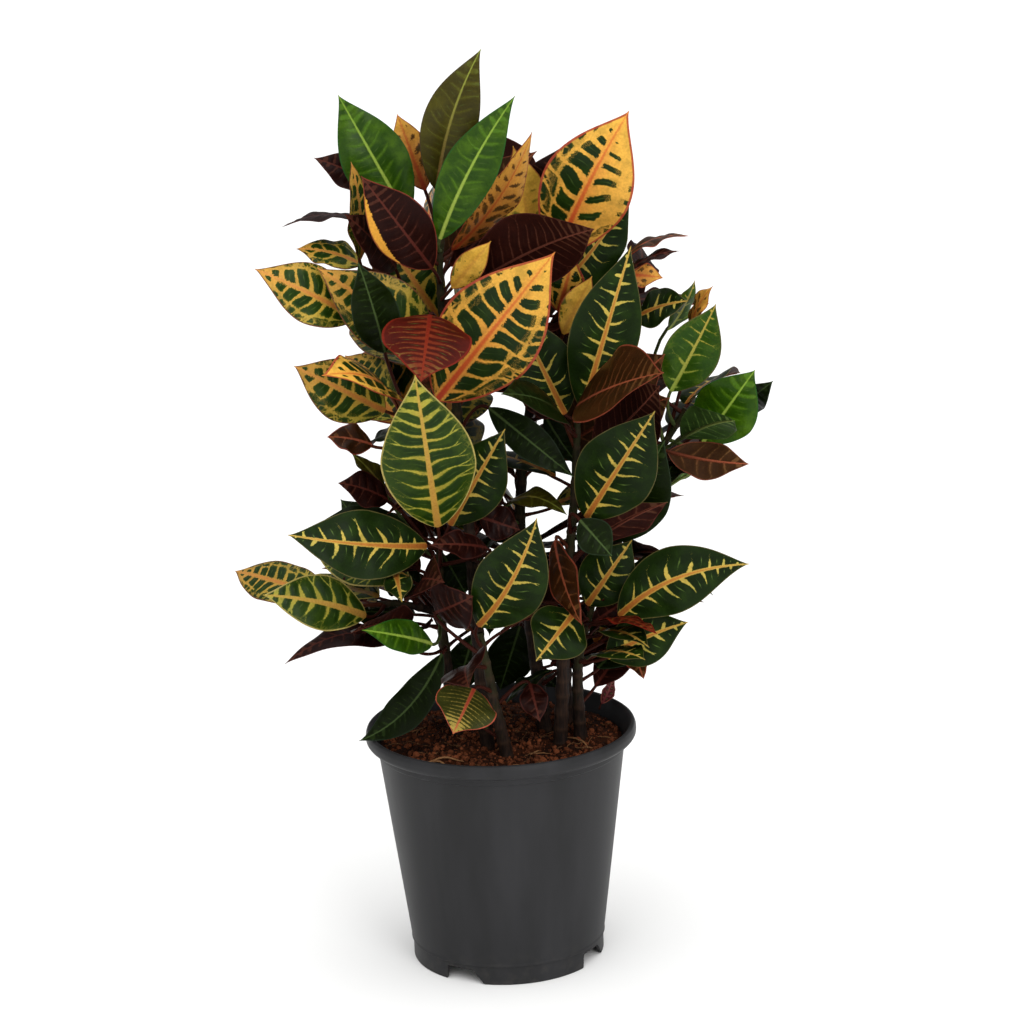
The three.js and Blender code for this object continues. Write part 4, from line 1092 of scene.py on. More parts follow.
@dataclass(frozen=True)
class BladeMaker:
    """Turns a Blade into the fine mesh of a croton leaf: blade, stalk and midrib."""

    rows: int = 42
    columns: int = 15
    further_rows: int = 28
    further_columns: int = 11
    thick: float = 0.56  # in the middle of the blade
    edge_thick: float = 0.3
    stalk_radius: float = 1.3
    heel_half: float = 1.3
    tip_half: float = 0.25
    quilt: float = 0.34  # how deep the side veins lie
    ripple: float = 0.5  # of the edge
    slant: float = 0.36  # of the side veins, towards the tip
    stalk_sides: int = 8
    stalk_rows: int = 7
    midrib_rows: int = 16
    further_midrib_rows: int = 10
    midrib_end: float = 0.94  # of the blade's length

    def numbers(self, blade: Blade, along: np.ndarray, down: np.ndarray) -> np.ndarray:
        """Counts the side veins, so that one runs where the number is whole.

        Args:
            blade: the leaf.
            along: share of the length.
            down: signed distance from the midrib in millimetres.

        Returns:
            The count at each point.
        """
        reach, off = blade.width / 2, np.abs(down)
        warped = blade.length * (along + 0.16 * along ** 2)
        curved = self.slant * off + 0.2 / reach * off ** 2
        wobble = (0.2 * np.sin(warped / 17 + blade.phase + down / 12)
                  + 0.1 * np.sin(off / 5.3 + warped / 8.7 + 2 * blade.phase))
        return (warped - curved) / blade.tone.value.spacing + wobble + blade.chance * 7.3

    def add(self, skin: Skin, blade: Blade, faces: int, unders: int) -> None:
        """Adds a leaf to a skin.

        Args:
            skin: the skin of its piece.
            blade: the leaf.
            faces: the material slot of its upper side.
            unders: the material slot of its underside and stalk.
        """
        rows, columns = self.rows, self.columns
        if not blade.front:
            rows, columns = self.further_rows, self.further_columns
        s = np.linspace(0, 1, rows)
        t = 0.55 * s + 0.45 * (1 - np.cos(math.pi * s)) / 2
        u = np.linspace(-1, 1, columns)
        v = 0.82 * u + 0.18 * u ** 3
        point, _, up, across = blade.midline(t)
        half = np.maximum(blade.half_width(t), self.heel_half * (1 - t) + self.tip_half * t)
        t, half = t[:, None], half[:, None]
        side, share = v[None, :], np.abs(v)[None, :]
        down = side * half
        count = self.numbers(blade, t, down)
        fold, lift = math.radians(blade.fold), self.lift(blade, t, half, side, count)
        body = (point[:, None] + across[:, None] * (down * math.cos(fold))[..., None]
                + up[:, None] * lift[..., None])
        thick = (self.edge_thick + (self.thick - self.edge_thick) * (1 - share ** 2)) / 2
        thick = thick * (1 - 0.5 * t)
        top = body + up[:, None] * thick[..., None]
        low = body - up[:, None] * thick[..., None]
        rings = np.concatenate([top, low[:, ::-1]], axis=1)

        shape = down.shape
        rib = np.abs(down) - blade.tone.value.rib_width * (1 - t) ** 0.75 - 0.25
        place = (down, t * blade.length, blade.chance * PATTERN_STEP)
        veins = (count, share, blade.chance * CHANCE_RANGE)
        edges = (rib, (1 - share) * half, t)
        both = {}
        for name, parts in (("leaf_place", place), ("leaf_veins", veins), ("leaf_edges", edges)):
            values = np.stack([np.broadcast_to(part, shape) for part in parts], -1)
            both[name] = np.concatenate([values, values[:, ::-1]], axis=1)
        skin.loft(rings, [faces] * columns + [unders] * columns, **both)
        self.add_stalk(skin, blade, unders)

    def lift(self, blade: Blade, t: np.ndarray, half: np.ndarray, side: np.ndarray, count: np.ndarray
             ) -> np.ndarray:
        """Works out how far the blade's section rises: folded, cupped, waved and quilted by veins.

        Args:
            blade: the leaf.
            t: share of the length, by row.
            half: half the width, by row.
            side: signed share of the half width, by column.
            count: the number of side veins, at each point.

        Returns:
            The rise at each point.
        """
        share = np.abs(side)
        soft = np.sqrt(share ** 2 + 0.004) - 0.063
        late = np.where(side > 0, 1.9, 0.0)
        wave = blade.wave * np.sin(4 * math.pi * t + blade.phase + late) * np.sin(math.pi * t)
        ripple = self.ripple * np.sin(23 * t + 2.3 * blade.phase + 2 * late) * np.sin(math.pi * t)
        valley = np.cos(2 * math.pi * (count + SIDE_STEP * (side > 0)))
        window = np.sin(math.pi * share ** 0.8) * np.minimum(1, half / 9)
        return (soft * half * math.sin(math.radians(blade.fold)) - share ** 2 * half * blade.cup
                + share ** 1.5 * wave + share ** 3 * ripple - self.quilt * valley * window)

    def add_stalk(self, skin: Skin, blade: Blade, slot: int) -> None:
        """Adds the round stalk, which swells at its root and runs on under the blade as its midrib.

        Args:
            skin: the skin of its piece.
            blade: the leaf.
            slot: the stalk's material slot.
        """
        bend, _ = blade.stalk()
        s = np.linspace(0, 1, self.stalk_rows + 1)[:-1, None]
        start = (1 - s) ** 2 * blade.root + 2 * s * (1 - s) * bend + s ** 2 * blade.heel
        t = np.linspace(0, self.midrib_end, self.midrib_rows if blade.front else self.further_midrib_rows)
        point, _, up, _ = blade.midline(t)
        radius = self.stalk_radius * (1 - t) ** 0.7 * 0.9 + 0.12
        sunk = 0.2 + radius * 0.8
        path = np.concatenate([start - up[0] * (s * sunk[0]), point - up * sunk[:, None]])
        thick = self.stalk_radius * (1 + 0.35 * np.exp(-((s[:, 0] - 0.1) / 0.14) ** 2))
        rings = tube_rings(path, np.concatenate([thick, radius]), self.stalk_sides)
        shape = rings.shape[:2]
        shares = np.concatenate([np.zeros(self.stalk_rows), t])[:, None]
        fields = {
            "leaf_place": (0, path_length(path)[:, None], blade.chance * PATTERN_STEP + 30),
            "leaf_veins": (0.5, 0, blade.chance * CHANCE_RANGE),  # between two veins
            "leaf_edges": (-3, 9, shares),  # well inside the midrib's band
        }
        stacks = {name: np.stack([np.broadcast_to(part, shape) for part in parts], -1)
                  for name, parts in fields.items()}
        skin.loft(rings, [slot] * self.stalk_sides, **stacks)


# ---- the plant's plan

# Spots are pixels across and down in the photograph's view and millimetres behind the pot's axis.
STEMS = (
    StemPlan(
        name="stem_tall_left", seed=11, outward=125, more=16, start=0.36,
        trunk=((488, 752, -25), (478, 640, -22), (470, 540, -16), (456, 400, -8), (441, 300, -4),
               (441, 228, -4)),
        branches=(BranchPlan(0.5, ((424, 440, -20), (394, 408, -28)), 4),
                  BranchPlan(0.72, ((408, 300, 6), (372, 262, 10)), 6)),
        palette=(Tone.NETTED, Tone.VEINED, Tone.FLAME, Tone.MAHOGANY, Tone.NETTED),
        leaves=(
            LeafPlan((555, 252, -84), (437, 400, -52), 76, Tone.FLAME, 0.04, 8),
            LeafPlan((421, 382, -142), (430, 315, -62), 66, Tone.SCARLET, 0.05, 12),
            LeafPlan((515, 96, -44), (440, 239, -26), 41, Tone.FRESH, 0.03, 18, roll=8, sweep=-0.04),
            LeafPlan((361, 176, -66), (432, 268, -30), 46, Tone.CRESCENT, 0.04, 18),
            LeafPlan((481, 49, -18), (437, 190, -10), 43, Tone.OLIVE, 0.03, 20, sweep=-0.05),
            LeafPlan((338, 95, -12), (407, 217, -2), 50, Tone.FRESH, 0.04, 12),
            LeafPlan((358, 262, -84), (385, 352, -50), 37, Tone.DEEP, 0.05, 16, roll=12),
            LeafPlan((255, 269, -52), (356, 318, -26), 46, Tone.NETTED, 0.06, 14, roll=14),
            LeafPlan((294, 366, -62), (385, 411, -40), 48, Tone.NETTED, 0.04, 12),
            LeafPlan((370, 215, -28), (439, 318, -20), 50, Tone.NETTED, 0.04, 10),
            LeafPlan((532, 132, -16), (452, 250, -12), 46, Tone.EMBER, 0.08, 12, roll=56),
            LeafPlan((397, 114, 26), (425, 190, 14), 30, Tone.EMBER, 0.05, 12),
            LeafPlan((314, 158, 6), (385, 190, 6), 32, Tone.MAHOGANY, 0.06, 14, roll=30),
            LeafPlan((351, 162, -36), (361, 259, -18), 38, Tone.NETTED, 0.04, 10, roll=62),
            LeafPlan((296, 249, -6), (362, 265, -10), 40, Tone.NETTED, 0.08, 10, roll=58),
            LeafPlan((282, 227, 6), (360, 219, 4), 40, Tone.MAHOGANY, 0.1, 8, roll=82),
            LeafPlan((327, 437, -20), (372, 445, -14), 30, Tone.BRONZE, 0.08, 12, roll=40),
            LeafPlan((574, 477, -44), (489, 408, -26), 28, Tone.DEEP, 0.08, 14),
            LeafPlan((491, 241, -34), (452, 288, -22), 22, Tone.GOLD, 0.05, 12),
            LeafPlan((520, 530, -6), (480, 517, -8), 28, Tone.MAHOGANY, 0.08, 12),
            LeafPlan((456, 692, 30), (474, 634, 6), 30, Tone.DEEP, 0.08, 12),
        ),
    ),
    StemPlan(
        name="stem_upper_right", seed=23, outward=70, more=18, start=0.3,
        trunk=((545, 725, 12), (528, 600, 24), (520, 520, 34), (530, 400, 40), (548, 262, 38)),
        branches=(BranchPlan(0.72, ((590, 330, 34), (626, 296, 26)), 6),),
        palette=(Tone.VEINED, Tone.FLAME, Tone.MAHOGANY, Tone.NETTED, Tone.GOLD),
        leaves=(
            LeafPlan((629, 111, -20), (557, 254, 8), 69, Tone.GILDED, 0.04, 8, sweep=-0.02),
            LeafPlan((513, 146, 0), (532, 252, 16), 40, Tone.GOLD, 0.05, 16, roll=16),
            LeafPlan((564, 145, 44), (545, 232, 36), 56, Tone.MAHOGANY, 0.05, 10),
            LeafPlan((574, 254, -14), (559, 312, 6), 30, Tone.FLAME, 0.06, 12),
            LeafPlan((689, 236, 12), (624, 258, 10), 34, Tone.BRONZE, 0.12, 8, roll=-80),
            LeafPlan((680, 251, -14), (626, 274, -2), 28, Tone.MAHOGANY, 0.1, 8, roll=-76),
            LeafPlan((663, 278, -30), (628, 276, -14), 20, Tone.EMBER, 0.06, 12, roll=-30),
            LeafPlan((688, 301, -6), (636, 318, 14), 38, Tone.VEINED, 0.08, 12, roll=-44),
            LeafPlan((579, 465, 6), (545, 415, 4), 20, Tone.DEEP, 0.08, 14, roll=20),
            LeafPlan((567, 515, -36), (506, 504, -8), 27, Tone.OLIVE, 0.2, 10, roll=-56),
            LeafPlan((506, 703, -30), (552, 670, -14), 24, Tone.DEEP, 0.08, 12, roll=66),
            LeafPlan((500, 690, 66), (520, 626, 46), 38, Tone.DEEP, 0.06, 12),
        ),
    ),
    StemPlan(
        name="stem_right", seed=37, outward=30, more=17, start=0.34,
        trunk=((566, 712, 30), (568, 650, 30), (604, 572, 26), (648, 474, 18), (686, 408, 14)),
        branches=(BranchPlan(0.76, ((690, 452, 34), (722, 424, 40)), 6),),
        palette=(Tone.DEEP, Tone.VEINED, Tone.MEADOW, Tone.VEINED),
        leaves=(
            LeafPlan((755, 370, -16), (703, 442, 2), 50, Tone.FRESH, 0.05, 12),
            LeafPlan((716, 304, -30), (671, 391, -10), 44, Tone.MEADOW, 0.05, 18, roll=10),
            LeafPlan((665, 440, -48), (612, 541, -20), 54, Tone.DEEP, 0.05, 10),
            LeafPlan((749, 464, -46), (668, 452, -22), 34, Tone.BRONZE, 0.06, 10, roll=150),
            LeafPlan((773, 381, -66), (736, 406, 4), 27, Tone.DEEP, 0.06, 12, roll=14),
            LeafPlan((713, 286, -2), (690, 334, 10), 34, Tone.EMBER, 0.08, 10, roll=-70),
            LeafPlan((695, 280, 16), (668, 330, 14), 22, Tone.MEADOW, 0.06, 12, roll=56),
        ),
        retones=((735, 421, Tone.FRESH),),
    ),
    StemPlan(
        name="stem_middle_right", seed=41, outward=60, more=10, start=0.34,
        trunk=((560, 738, -22), (566, 600, -26), (574, 500, -26), (578, 412, -22)),
        branches=(),
        palette=(Tone.VEINED, Tone.DEEP, Tone.VEINED, Tone.MAHOGANY),
        leaves=(
            LeafPlan((655, 411, -112), (586, 518, -58), 59, Tone.VEINED, 0.04, 8),
            LeafPlan((631, 246, -60), (583, 409, -34), 52, Tone.VEINED, 0.03, 12),
            LeafPlan((515, 312, -34), (565, 414, -26), 50, Tone.VEINED, 0.04, 12),
            LeafPlan((592, 276, -16), (563, 334, -16), 24, Tone.GOLD, 0.05, 12),
            LeafPlan((665, 354, -62), (585, 414, -32), 52, Tone.BRONZE, 0.06, 10, roll=146),
            LeafPlan((582, 625, -74), (555, 540, -42), 32, Tone.BRONZE, 0.06, 10, roll=46),
            # Nearly black tone: painted shade for a leaf that sits in the shade between the others.
            LeafPlan((612, 556, -30), (580, 520, -24), 28, Tone.DEEP, 0.08, 12),
        ),
        retones=((664, 373, Tone.BRONZE),),
    ),
    StemPlan(
        name="stem_low_left", seed=53, outward=165, more=12, start=0.36,
        trunk=((458, 735, 8), (446, 660, 0), (440, 600, -14), (440, 535, -24)),
        branches=(BranchPlan(0.6, ((400, 604, -26), (368, 606, -32)), 5),),
        palette=(Tone.VEINED, Tone.LADDER, Tone.DEEP, Tone.MAHOGANY),
        leaves=(
            LeafPlan((415, 375, -150), (438, 527, -74), 69, Tone.LADDER, 0.04, 8),
            LeafPlan((505, 429, -76), (450, 525, -44), 48, Tone.VEINED, 0.04, 10),
            LeafPlan((288, 535, -104), (427, 546, -62), 52, Tone.VEINED, 0.05, 8, roll=8, sweep=-0.03),
            LeafPlan((263, 595, -92), (366, 616, -56), 42, Tone.LADDER, 0.05, 10, roll=8, sweep=0.03),
            LeafPlan((235, 571, 72), (334, 601, -34), 40, Tone.NETTED, 0.06, 10, roll=28, sweep=-0.02),
            LeafPlan((285, 664, -58), (418, 650, -24), 42, Tone.MAHOGANY, 0.19, 6, roll=64),
            LeafPlan((362, 630, -112), (432, 644, -60), 27, Tone.FRESH, 0.06, 14, roll=16),
            LeafPlan((338, 483, -34), (388, 500, -24), 34, Tone.MAHOGANY, 0.08, 12, roll=40),
            LeafPlan((352, 454, -6), (384, 490, -10), 20, Tone.OLIVE, 0.06, 14, roll=46),
            LeafPlan((402, 602, -116), (396, 574, -74), 22, Tone.VEINED, 0.06, 12),
            LeafPlan((430, 545, -84), (487, 548, -56), 24, Tone.MAHOGANY, 0.06, 12, roll=30),
            LeafPlan((466, 594, -46), (444, 556, -34), 32, Tone.DEEP, 0.08, 12),
            # Nearly black tone: painted shade for a leaf low in the crown's shadow.
            LeafPlan((359, 741, -30), (442, 654, -30), 31, Tone.DEEP, 0.08, 12, roll=16, sweep=-0.13),
        ),
    ),
    StemPlan(
        name="stem_low_right", seed=67, outward=10, more=9, start=0.36,
        trunk=((580, 722, -8), (578, 668, -12), (592, 606, -18)),
        branches=(),
        palette=(Tone.VEINED, Tone.DEEP, Tone.MAHOGANY),
        leaves=(
            LeafPlan((749, 564, -72), (619, 616, -36), 50, Tone.VEINED, 0.05, 8, sweep=-0.09),
            LeafPlan((536, 661, -108), (575, 612, -56), 47, Tone.VEINED, 0.05, 10),
            LeafPlan((632, 540, -34), (587, 605, -22), 44, Tone.VEINED, 0.04, 10),
            LeafPlan((688, 622, -46), (607, 657, -24), 42, Tone.VEINED, 0.05, 10, sweep=-0.03),
            LeafPlan((657, 634, -84), (600, 620, -46), 28, Tone.SCARLET, 0.1, 8, roll=-76),
            LeafPlan((644, 679, -22), (634, 640, -12), 22, Tone.BRONZE, 0.06, 12, roll=36),
        ),
    ),
    StemPlan(
        name="stem_short_front", seed=71, outward=90, more=4, start=0.5,
        trunk=((508, 757, -48), (492, 690, -52), (480, 632, -54)),
        branches=(),
        palette=(Tone.MAHOGANY, Tone.VEINED),
        leaves=(
            LeafPlan((537, 518, -128), (478, 626, -76), 54, Tone.VEINED, 0.04, 10, sweep=0.05),
            LeafPlan((453, 734, -136), (474, 689, -82), 48, Tone.STRIPED, 0.05, 12),
            LeafPlan((473, 596, -96), (436, 612, -66), 42, Tone.MAHOGANY, 0.06, 10, roll=14),
            LeafPlan((540, 722, -92), (530, 684, -66), 22, Tone.MAHOGANY, 0.06, 14),
        ),
    ),
)

GROWTH_TURNS = (
    (0, 0), (14, 0), (-14, 0), (0, 14), (0, -14), (28, 0), (-28, 0), (20, -20), (-20, -20), (20, 20),
    (-20, 20), (44, 0), (-44, 0), (62, 10), (-62, 10), (80, 0), (-80, 0), (100, 5), (-100, 5),
)


class LeafDraw(NamedTuple):
    """The draws from 0 to 1 that make each leaf of a stem its own, in the order they are drawn."""

    azimuth: float
    pitch: float
    length: float
    stalk: float
    width: float
    lean: float
    tone: float
    fold: float
    phase: float


@dataclass(frozen=True)
class Growth:
    """The rules that a stem's leaves grow by, which are the CAD's own, in millimetres and degrees."""

    slides: tuple[float, ...] = (0, -7, 7, -14, 14, -22, 22, -32, 32, -44, 44, -58, 58)
    root_shifts: tuple[float, ...] = (0, -16, 14, -34, 30)
    turns: tuple[tuple[float, float], ...] = GROWTH_TURNS
    shrinks: tuple[float, ...] = (1, 0.84, 0.68)
    golden: float = 137.50776
    sector: float = 210
    jitter: float = 26
    lowest: float = 250
    highest: float = 700
    low_pitch: float = -8
    high_pitch: float = 60
    pitch_draw: float = 22
    stalk_short: float = 15
    stalk_draw: float = 14
    stalk_lift: float = 14
    length_short: float = 98
    length_draw: float = 46
    slender: float = 0.44
    slender_draw: float = 0.1
    sideways: float = 76
    face_out: float = 0.75
    face_up: float = 0.55
    inner_step: float = 9.5  # along the wood, between two small inner leaves
    inner_pitch: float = -24
    inner_pitch_draw: float = 60
    inner_stalk: float = 9
    inner_short: float = 46
    inner_draw: float = 40
    inner_twist: float = 50
    # the darkest tones only: painted shade for the small leaves deep inside the crown
    inner_shade_tones: tuple[Tone, ...] = (Tone.DEEP, Tone.MAHOGANY, Tone.MAHOGANY, Tone.DEEP)

    def pick(self, draw: float, tones: Sequence[Tone]) -> Tone:
        """Picks one of the tones by a draw."""
        return tones[int(draw * 997) % len(tones)]


@dataclass(frozen=True)
class Axis:
    """The middle line of a trunk or branch, with the number and the start of its further leaves."""

    points: np.ndarray
    more: int
    start: float

    def at(self, share: float, rounding: float = 0.0) -> np.ndarray:
        """Gives the point at a share of the line's steps."""
        return self.points[int(share * (len(self.points) - 1) + rounding)]


@dataclass(frozen=True)
class WoodSizes:
    """Sizes of a stem's and its branches' wood, in millimetres."""

    base: float = 6.0
    top: float = 2.3
    branch_base: float = 3.4
    branch_top: float = 2.1
    soil: float = 173.0
    sunk: float = 30.0
    sides: int = 14
    ring_step: float = 2.4
    scar_step: float = 13.0  # between leaf scars
    scar_half: float = 1.3
    scar_rise: float = 0.5
    knob: float = 7.0  # across a knob
    knob_rise: float = 0.16  # of the radius
    bark_step: float = 900.0  # between the places that two stems take their bark from


class CadCorners:
    """The corners of one CAD node, to look places up in."""

    def __init__(self, node: str) -> None:
        """Reads the corners.

        Args:
            node: the node's name.
        """
        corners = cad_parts[node].data.vertices
        self.tree = KDTree(len(corners))
        for k, corner in enumerate(corners):
            self.tree.insert(corner.co, k)
        self.tree.balance()

    def has(self, point: np.ndarray, near: float = 0.05) -> bool:
        """Tells whether a corner lies within near millimetres of a point in millimetres."""
        return self.tree.find(Vector(point) * MM)[2] < near * MM


class Thicket:
    """The space that leaves, stems and pot take up, to grow new leaves clear of it.

    The openings are round places in the picture, each with its middle and radius in pixels,
    where daylight shows between the leaves. A leaf's coarse sheet has three rows for its
    stalk and eight for its blade, each of three points from side to side.
    """

    openings = ((552, 488, 30), (567, 440, 14), (474, 424, 16), (546, 530, 10))
    stalk_rows, blade_rows, wide_row = 3, 8, 3
    room = 1.2  # millimetres kept free
    wood_width = 9.0

    def __init__(self, stems: Sequence[LeafyStem], floor: float = 192.0) -> None:
        """Takes in all the leaves and wood.

        Args:
            stems: the stems.
            floor: the lowest height of a new leaf, in millimetres.
        """
        self.points: list[Vector] = []
        self.faces: list[tuple[int, ...]] = []
        self.floor = floor
        for stem in stems:
            for blade in stem.blades:
                self.take(*self.sheet(blade))
            for axis in stem.axes:
                self.strip(axis.points[::4])

    def sheet(self, blade: Blade) -> tuple[list[Vector], list[tuple[int, ...]]]:
        """Makes a coarse sheet for a blade and its stalk.

        Args:
            blade: the leaf.

        Returns:
            The sheet's points and faces.
        """
        point, _, up, across = blade.midline(np.linspace(0, 1, self.blade_rows))
        half = np.maximum(blade.half_width(np.linspace(0, 1, self.blade_rows)), 1.5)[:, None]
        lift = up * half * math.sin(math.radians(blade.fold))
        rows = np.stack([point - across * half + lift, point, point + across * half + lift], axis=1)
        bend, _ = blade.stalk()
        near = blade.root + (bend - blade.root) * 0.45
        stalk = np.array([[p, p, p + across[0] * 2] for p in (near, bend, blade.heel)])
        rows = np.concatenate([stalk, rows])
        faces = [(3 * k + j, 3 * k + j + 1, 3 * k + j + 4, 3 * k + j + 3)
                 for k in range(len(rows) - 1) for j in range(2) if k >= self.stalk_rows or j == 1]
        return [Vector(p) for p in rows.reshape(-1, 3)], faces

    def take(self, points: list[Vector], faces: list[tuple[int, ...]]) -> None:
        """Takes in a sheet.

        Args:
            points: its points.
            faces: its faces.
        """
        base = len(self.points)
        self.points += points
        self.faces += [tuple(base + corner for corner in face) for face in faces]
        self.tree = BVHTree.FromPolygons(self.points, self.faces, epsilon=self.room)

    def strip(self, line: np.ndarray) -> None:
        """Takes in a length of wood as two crossed strips.

        Args:
            line: points of its middle line.
        """
        for across in np.eye(3)[:2] * self.wood_width:
            rows = np.stack([line - across / 2, line + across / 2], axis=1).reshape(-1, 3)
            faces = [(2 * k, 2 * k + 1, 2 * k + 3, 2 * k + 2) for k in range(len(line) - 1)]
            self.take([Vector(p) for p in rows], faces)

    def hidden(self, point: Vector) -> int:
        """Counts from how many of four sides a point lies before or behind something."""
        looks = (Vector((math.cos(a), math.sin(a), -0.3)) for a in np.arange(4) * math.pi / 4)
        return sum(any(self.tree.ray_cast(point, look * way)[0] for way in (1, -1)) for look in looks)

    def seen(self, point: Vector, way: int) -> bool:
        """Tells whether something lies between a point and the camera, or beyond the point for way -1."""
        look = (Vector(VIEW.eye) - point).normalized()
        return self.tree.ray_cast(point, look * way)[0] is not None

    def free(self, blade: Blade) -> bool:
        """Tells whether a new leaf would stay clear of everything and within the plant's outline.

        Args:
            blade: the leaf.

        Returns:
            True where it may grow.
        """
        points, faces = self.sheet(blade)
        body = points[3 * self.stalk_rows:]
        if min(point.z for point in body) < self.floor:
            return False
        spots = VIEW.spots(points[3:])
        if any(np.linalg.norm(spots - (x, y), axis=1).min() < radius for x, y, radius in self.openings):
            return False
        tip, sides = body[-2], (body[3 * self.wide_row + 2], body[3 * self.wide_row])
        if self.hidden(tip) < 4 or min(map(self.hidden, sides)) < 3 or not self.seen(tip, 1):
            return False
        if any(self.seen(side, -1) and not self.seen(side, 1) for side in sides):
            return False
        return not self.tree.overlap(BVHTree.FromPolygons(points, faces, epsilon=self.room))


@dataclass
class LeafyStem:
    """One leafy stem: its wood, the large leaves of the front and the further ones round the back."""

    plan: StemPlan
    growth: Growth = Growth()
    wood: WoodSizes = WoodSizes()
    maker: BladeMaker = BladeMaker()
    cad_stalk: float = 1.35  # radius of the CAD's stalks

    def __post_init__(self) -> None:
        """Works out the middle lines and reads the CAD node."""
        foot = VIEW.place(self.plan.trunk[0])
        foot[2] = self.wood.soil
        trunk = smooth_line([foot, *(VIEW.place(spot) for spot in self.plan.trunk[1:])])
        self.axes = [Axis(trunk, self.plan.more, self.plan.start)]
        for branch in self.plan.branches:
            start = self.axes[0].at(branch.at, 0.5)
            line = smooth_line([start, *map(VIEW.place, branch.to)])
            self.axes.append(Axis(line, branch.more, branch.start))
        self.corners = CadCorners(self.plan.name)
        self.blades = self.leaves()

    def root_for(self, heel: np.ndarray, shift: float) -> np.ndarray:
        """Finds where on the stem a leaf grows from, a little below its heel.

        Args:
            heel: the leaf's heel.
            shift: how much lower along the wood than usual.

        Returns:
            The place on the middle line.
        """
        far = [np.linalg.norm(axis.points - heel, axis=1) for axis in self.axes]
        best = min(range(len(far)), key=lambda axis: far[axis].min())
        points, index = self.axes[best].points, int(far[best].argmin())
        back = 0.5 * far[best][index] + shift
        while index > 1 and back > 0:
            back -= np.linalg.norm(points[index] - points[index - 1])
            index -= 1
        while index + 1 < len(points) and back < -3:
            back += np.linalg.norm(points[index] - points[index + 1])
            index += 1
        return points[index]

    def front_places(self, row: LeafPlan, order: int) -> Iterator[Blade]:
        """Tries the places that a large leaf can take along the line of sight.

        Args:
            row: the leaf's plan.
            order: its number on the stem.

        Yields:
            The leaf at each place.
        """
        eye = np.array(VIEW.eye)
        chance = (order * 0.618 + self.plan.seed * 0.37) % 1
        for slide in self.growth.slides:
            tip, heel = (p + unit(p - eye) * slide for p in map(VIEW.place, (row.tip, row.heel)))
            yield Blade(tip, heel, eye - tip, heel, row.width, row.arch, row.fold, row.roll, row.sweep,
                        phase=order * 2.4, chance=chance, tone=row.tone)

    def rooted(self, blade: Blade) -> Blade:
        """Gives a large leaf the root whose stalk the CAD node has.

        Args:
            blade: the leaf.

        Returns:
            The same leaf.
        """
        for shift in self.growth.root_shifts:
            blade.root = self.root_for(blade.heel, shift)
            bend, turning = blade.stalk()
            up = unit(blade.face - (blade.face @ turning) * turning) * self.cad_stalk
            if self.corners.has(bend + up) or self.corners.has(bend - up):
                return blade
        blade.root = self.root_for(blade.heel, 0)
        return blade

    def sprouts(self, root: np.ndarray, azimuth: float, pitch: float, stalk: float, length: float,
                drawn: LeafDraw, **looks: Any) -> Iterator[Blade]:
        """Tries a leaf on the stem, turned aside and shrunk step by step.

        Args:
            root: where it grows from.
            azimuth: the way it grows, in degrees.
            pitch: how far it rises, in degrees.
            stalk: the stalk's length.
            length: the blade's length.
            drawn: the leaf's draws.
            looks: the blade's other sizes and its tone.

        Yields:
            The leaf at each turn.
        """
        g = self.growth
        for shrink in g.shrinks:
            size = shrink * length
            width = size * (g.slender + g.slender_draw * drawn.width)
            for turn, lift in g.turns:
                heel = root + direction(azimuth + turn, pitch + lift + g.stalk_lift) * stalk
                lean = direction(azimuth + turn + (drawn.lean - 0.5) * g.sideways, pitch + lift)
                face = direction(azimuth + turn, 0) * g.face_out + UP * g.face_up
                yield Blade(heel + lean * size, heel, face, root, width, front=False,
                            phase=2 * math.pi * drawn.phase, chance=drawn.phase, **looks)

    def more_places(self, axis: Axis, order: int, drawn: LeafDraw) -> Iterator[Blade]:
        """Tries the places that a further leaf can take.

        Args:
            axis: the trunk or branch.
            order: the leaf's number on it.
            drawn: the leaf's draws.

        Returns:
            The leaf at each place.
        """
        g, share = self.growth, (order + 0.5) / axis.more
        root = axis.at(axis.start + (1 - axis.start) * share, 0.5)
        spiral = ((order * g.golden + self.plan.seed * 7) % 360) / 360 - 0.5
        azimuth = self.plan.outward + spiral * g.sector + (drawn.azimuth - 0.5) * g.jitter
        height = min(1.0, max(0.0, (root[2] - g.lowest) / (g.highest - g.lowest)))
        pitch = g.low_pitch + (g.high_pitch - g.low_pitch) * height + (drawn.pitch - 0.5) * g.pitch_draw
        young = share > 0.86 and height > 0.7
        return self.sprouts(
            root, azimuth, pitch, g.stalk_short + g.stalk_draw * drawn.stalk + self.wood.top,
            g.length_short + g.length_draw * drawn.length, drawn, arch=0.03 + 0.09 * drawn.tone,
            fold=8 + 12 * drawn.fold, tone=Tone.FRESH if young else g.pick(drawn.tone, self.plan.palette))

    def inner_places(self, axis: Axis, order: int, drawn: LeafDraw) -> Iterator[Blade]:
        """Tries the places that a small inner leaf can take.

        Args:
            axis: the trunk or branch.
            order: the leaf's number on it.
            drawn: the leaf's draws.

        Returns:
            The leaf at each place.
        """
        g = self.growth
        root = axis.at(0.1 + 0.84 * (order + drawn.lean) / self.inner_count(axis))
        azimuth = order * g.golden + self.plan.seed * 31 + (drawn.azimuth - 0.5) * g.jitter
        return self.sprouts(
            root, azimuth, g.inner_pitch + g.inner_pitch_draw * drawn.pitch,
            g.inner_stalk + g.stalk_draw * drawn.stalk, g.inner_short + g.inner_draw * drawn.length,
            drawn, arch=0.1 * drawn.fold, fold=8 + 16 * drawn.fold, wave=1.8,
            twist=g.inner_twist * (drawn.width - 0.5), tone=g.pick(drawn.tone, g.inner_shade_tones))

    def inner_count(self, axis: Axis) -> int:
        """Gives how many small inner leaves an axis tries to grow."""
        return max(1, int(path_length(axis.points)[-1] / self.growth.inner_step))

    def grown(self, places: Iterator[Blade]) -> Blade | None:
        """Gives the first place whose tip the CAD node has, or None for a leaf that it left out."""
        return next((blade for blade in places
                     if all(map(self.corners.has, blade.tip_corners(CAD_HALF_THICK)))), None)

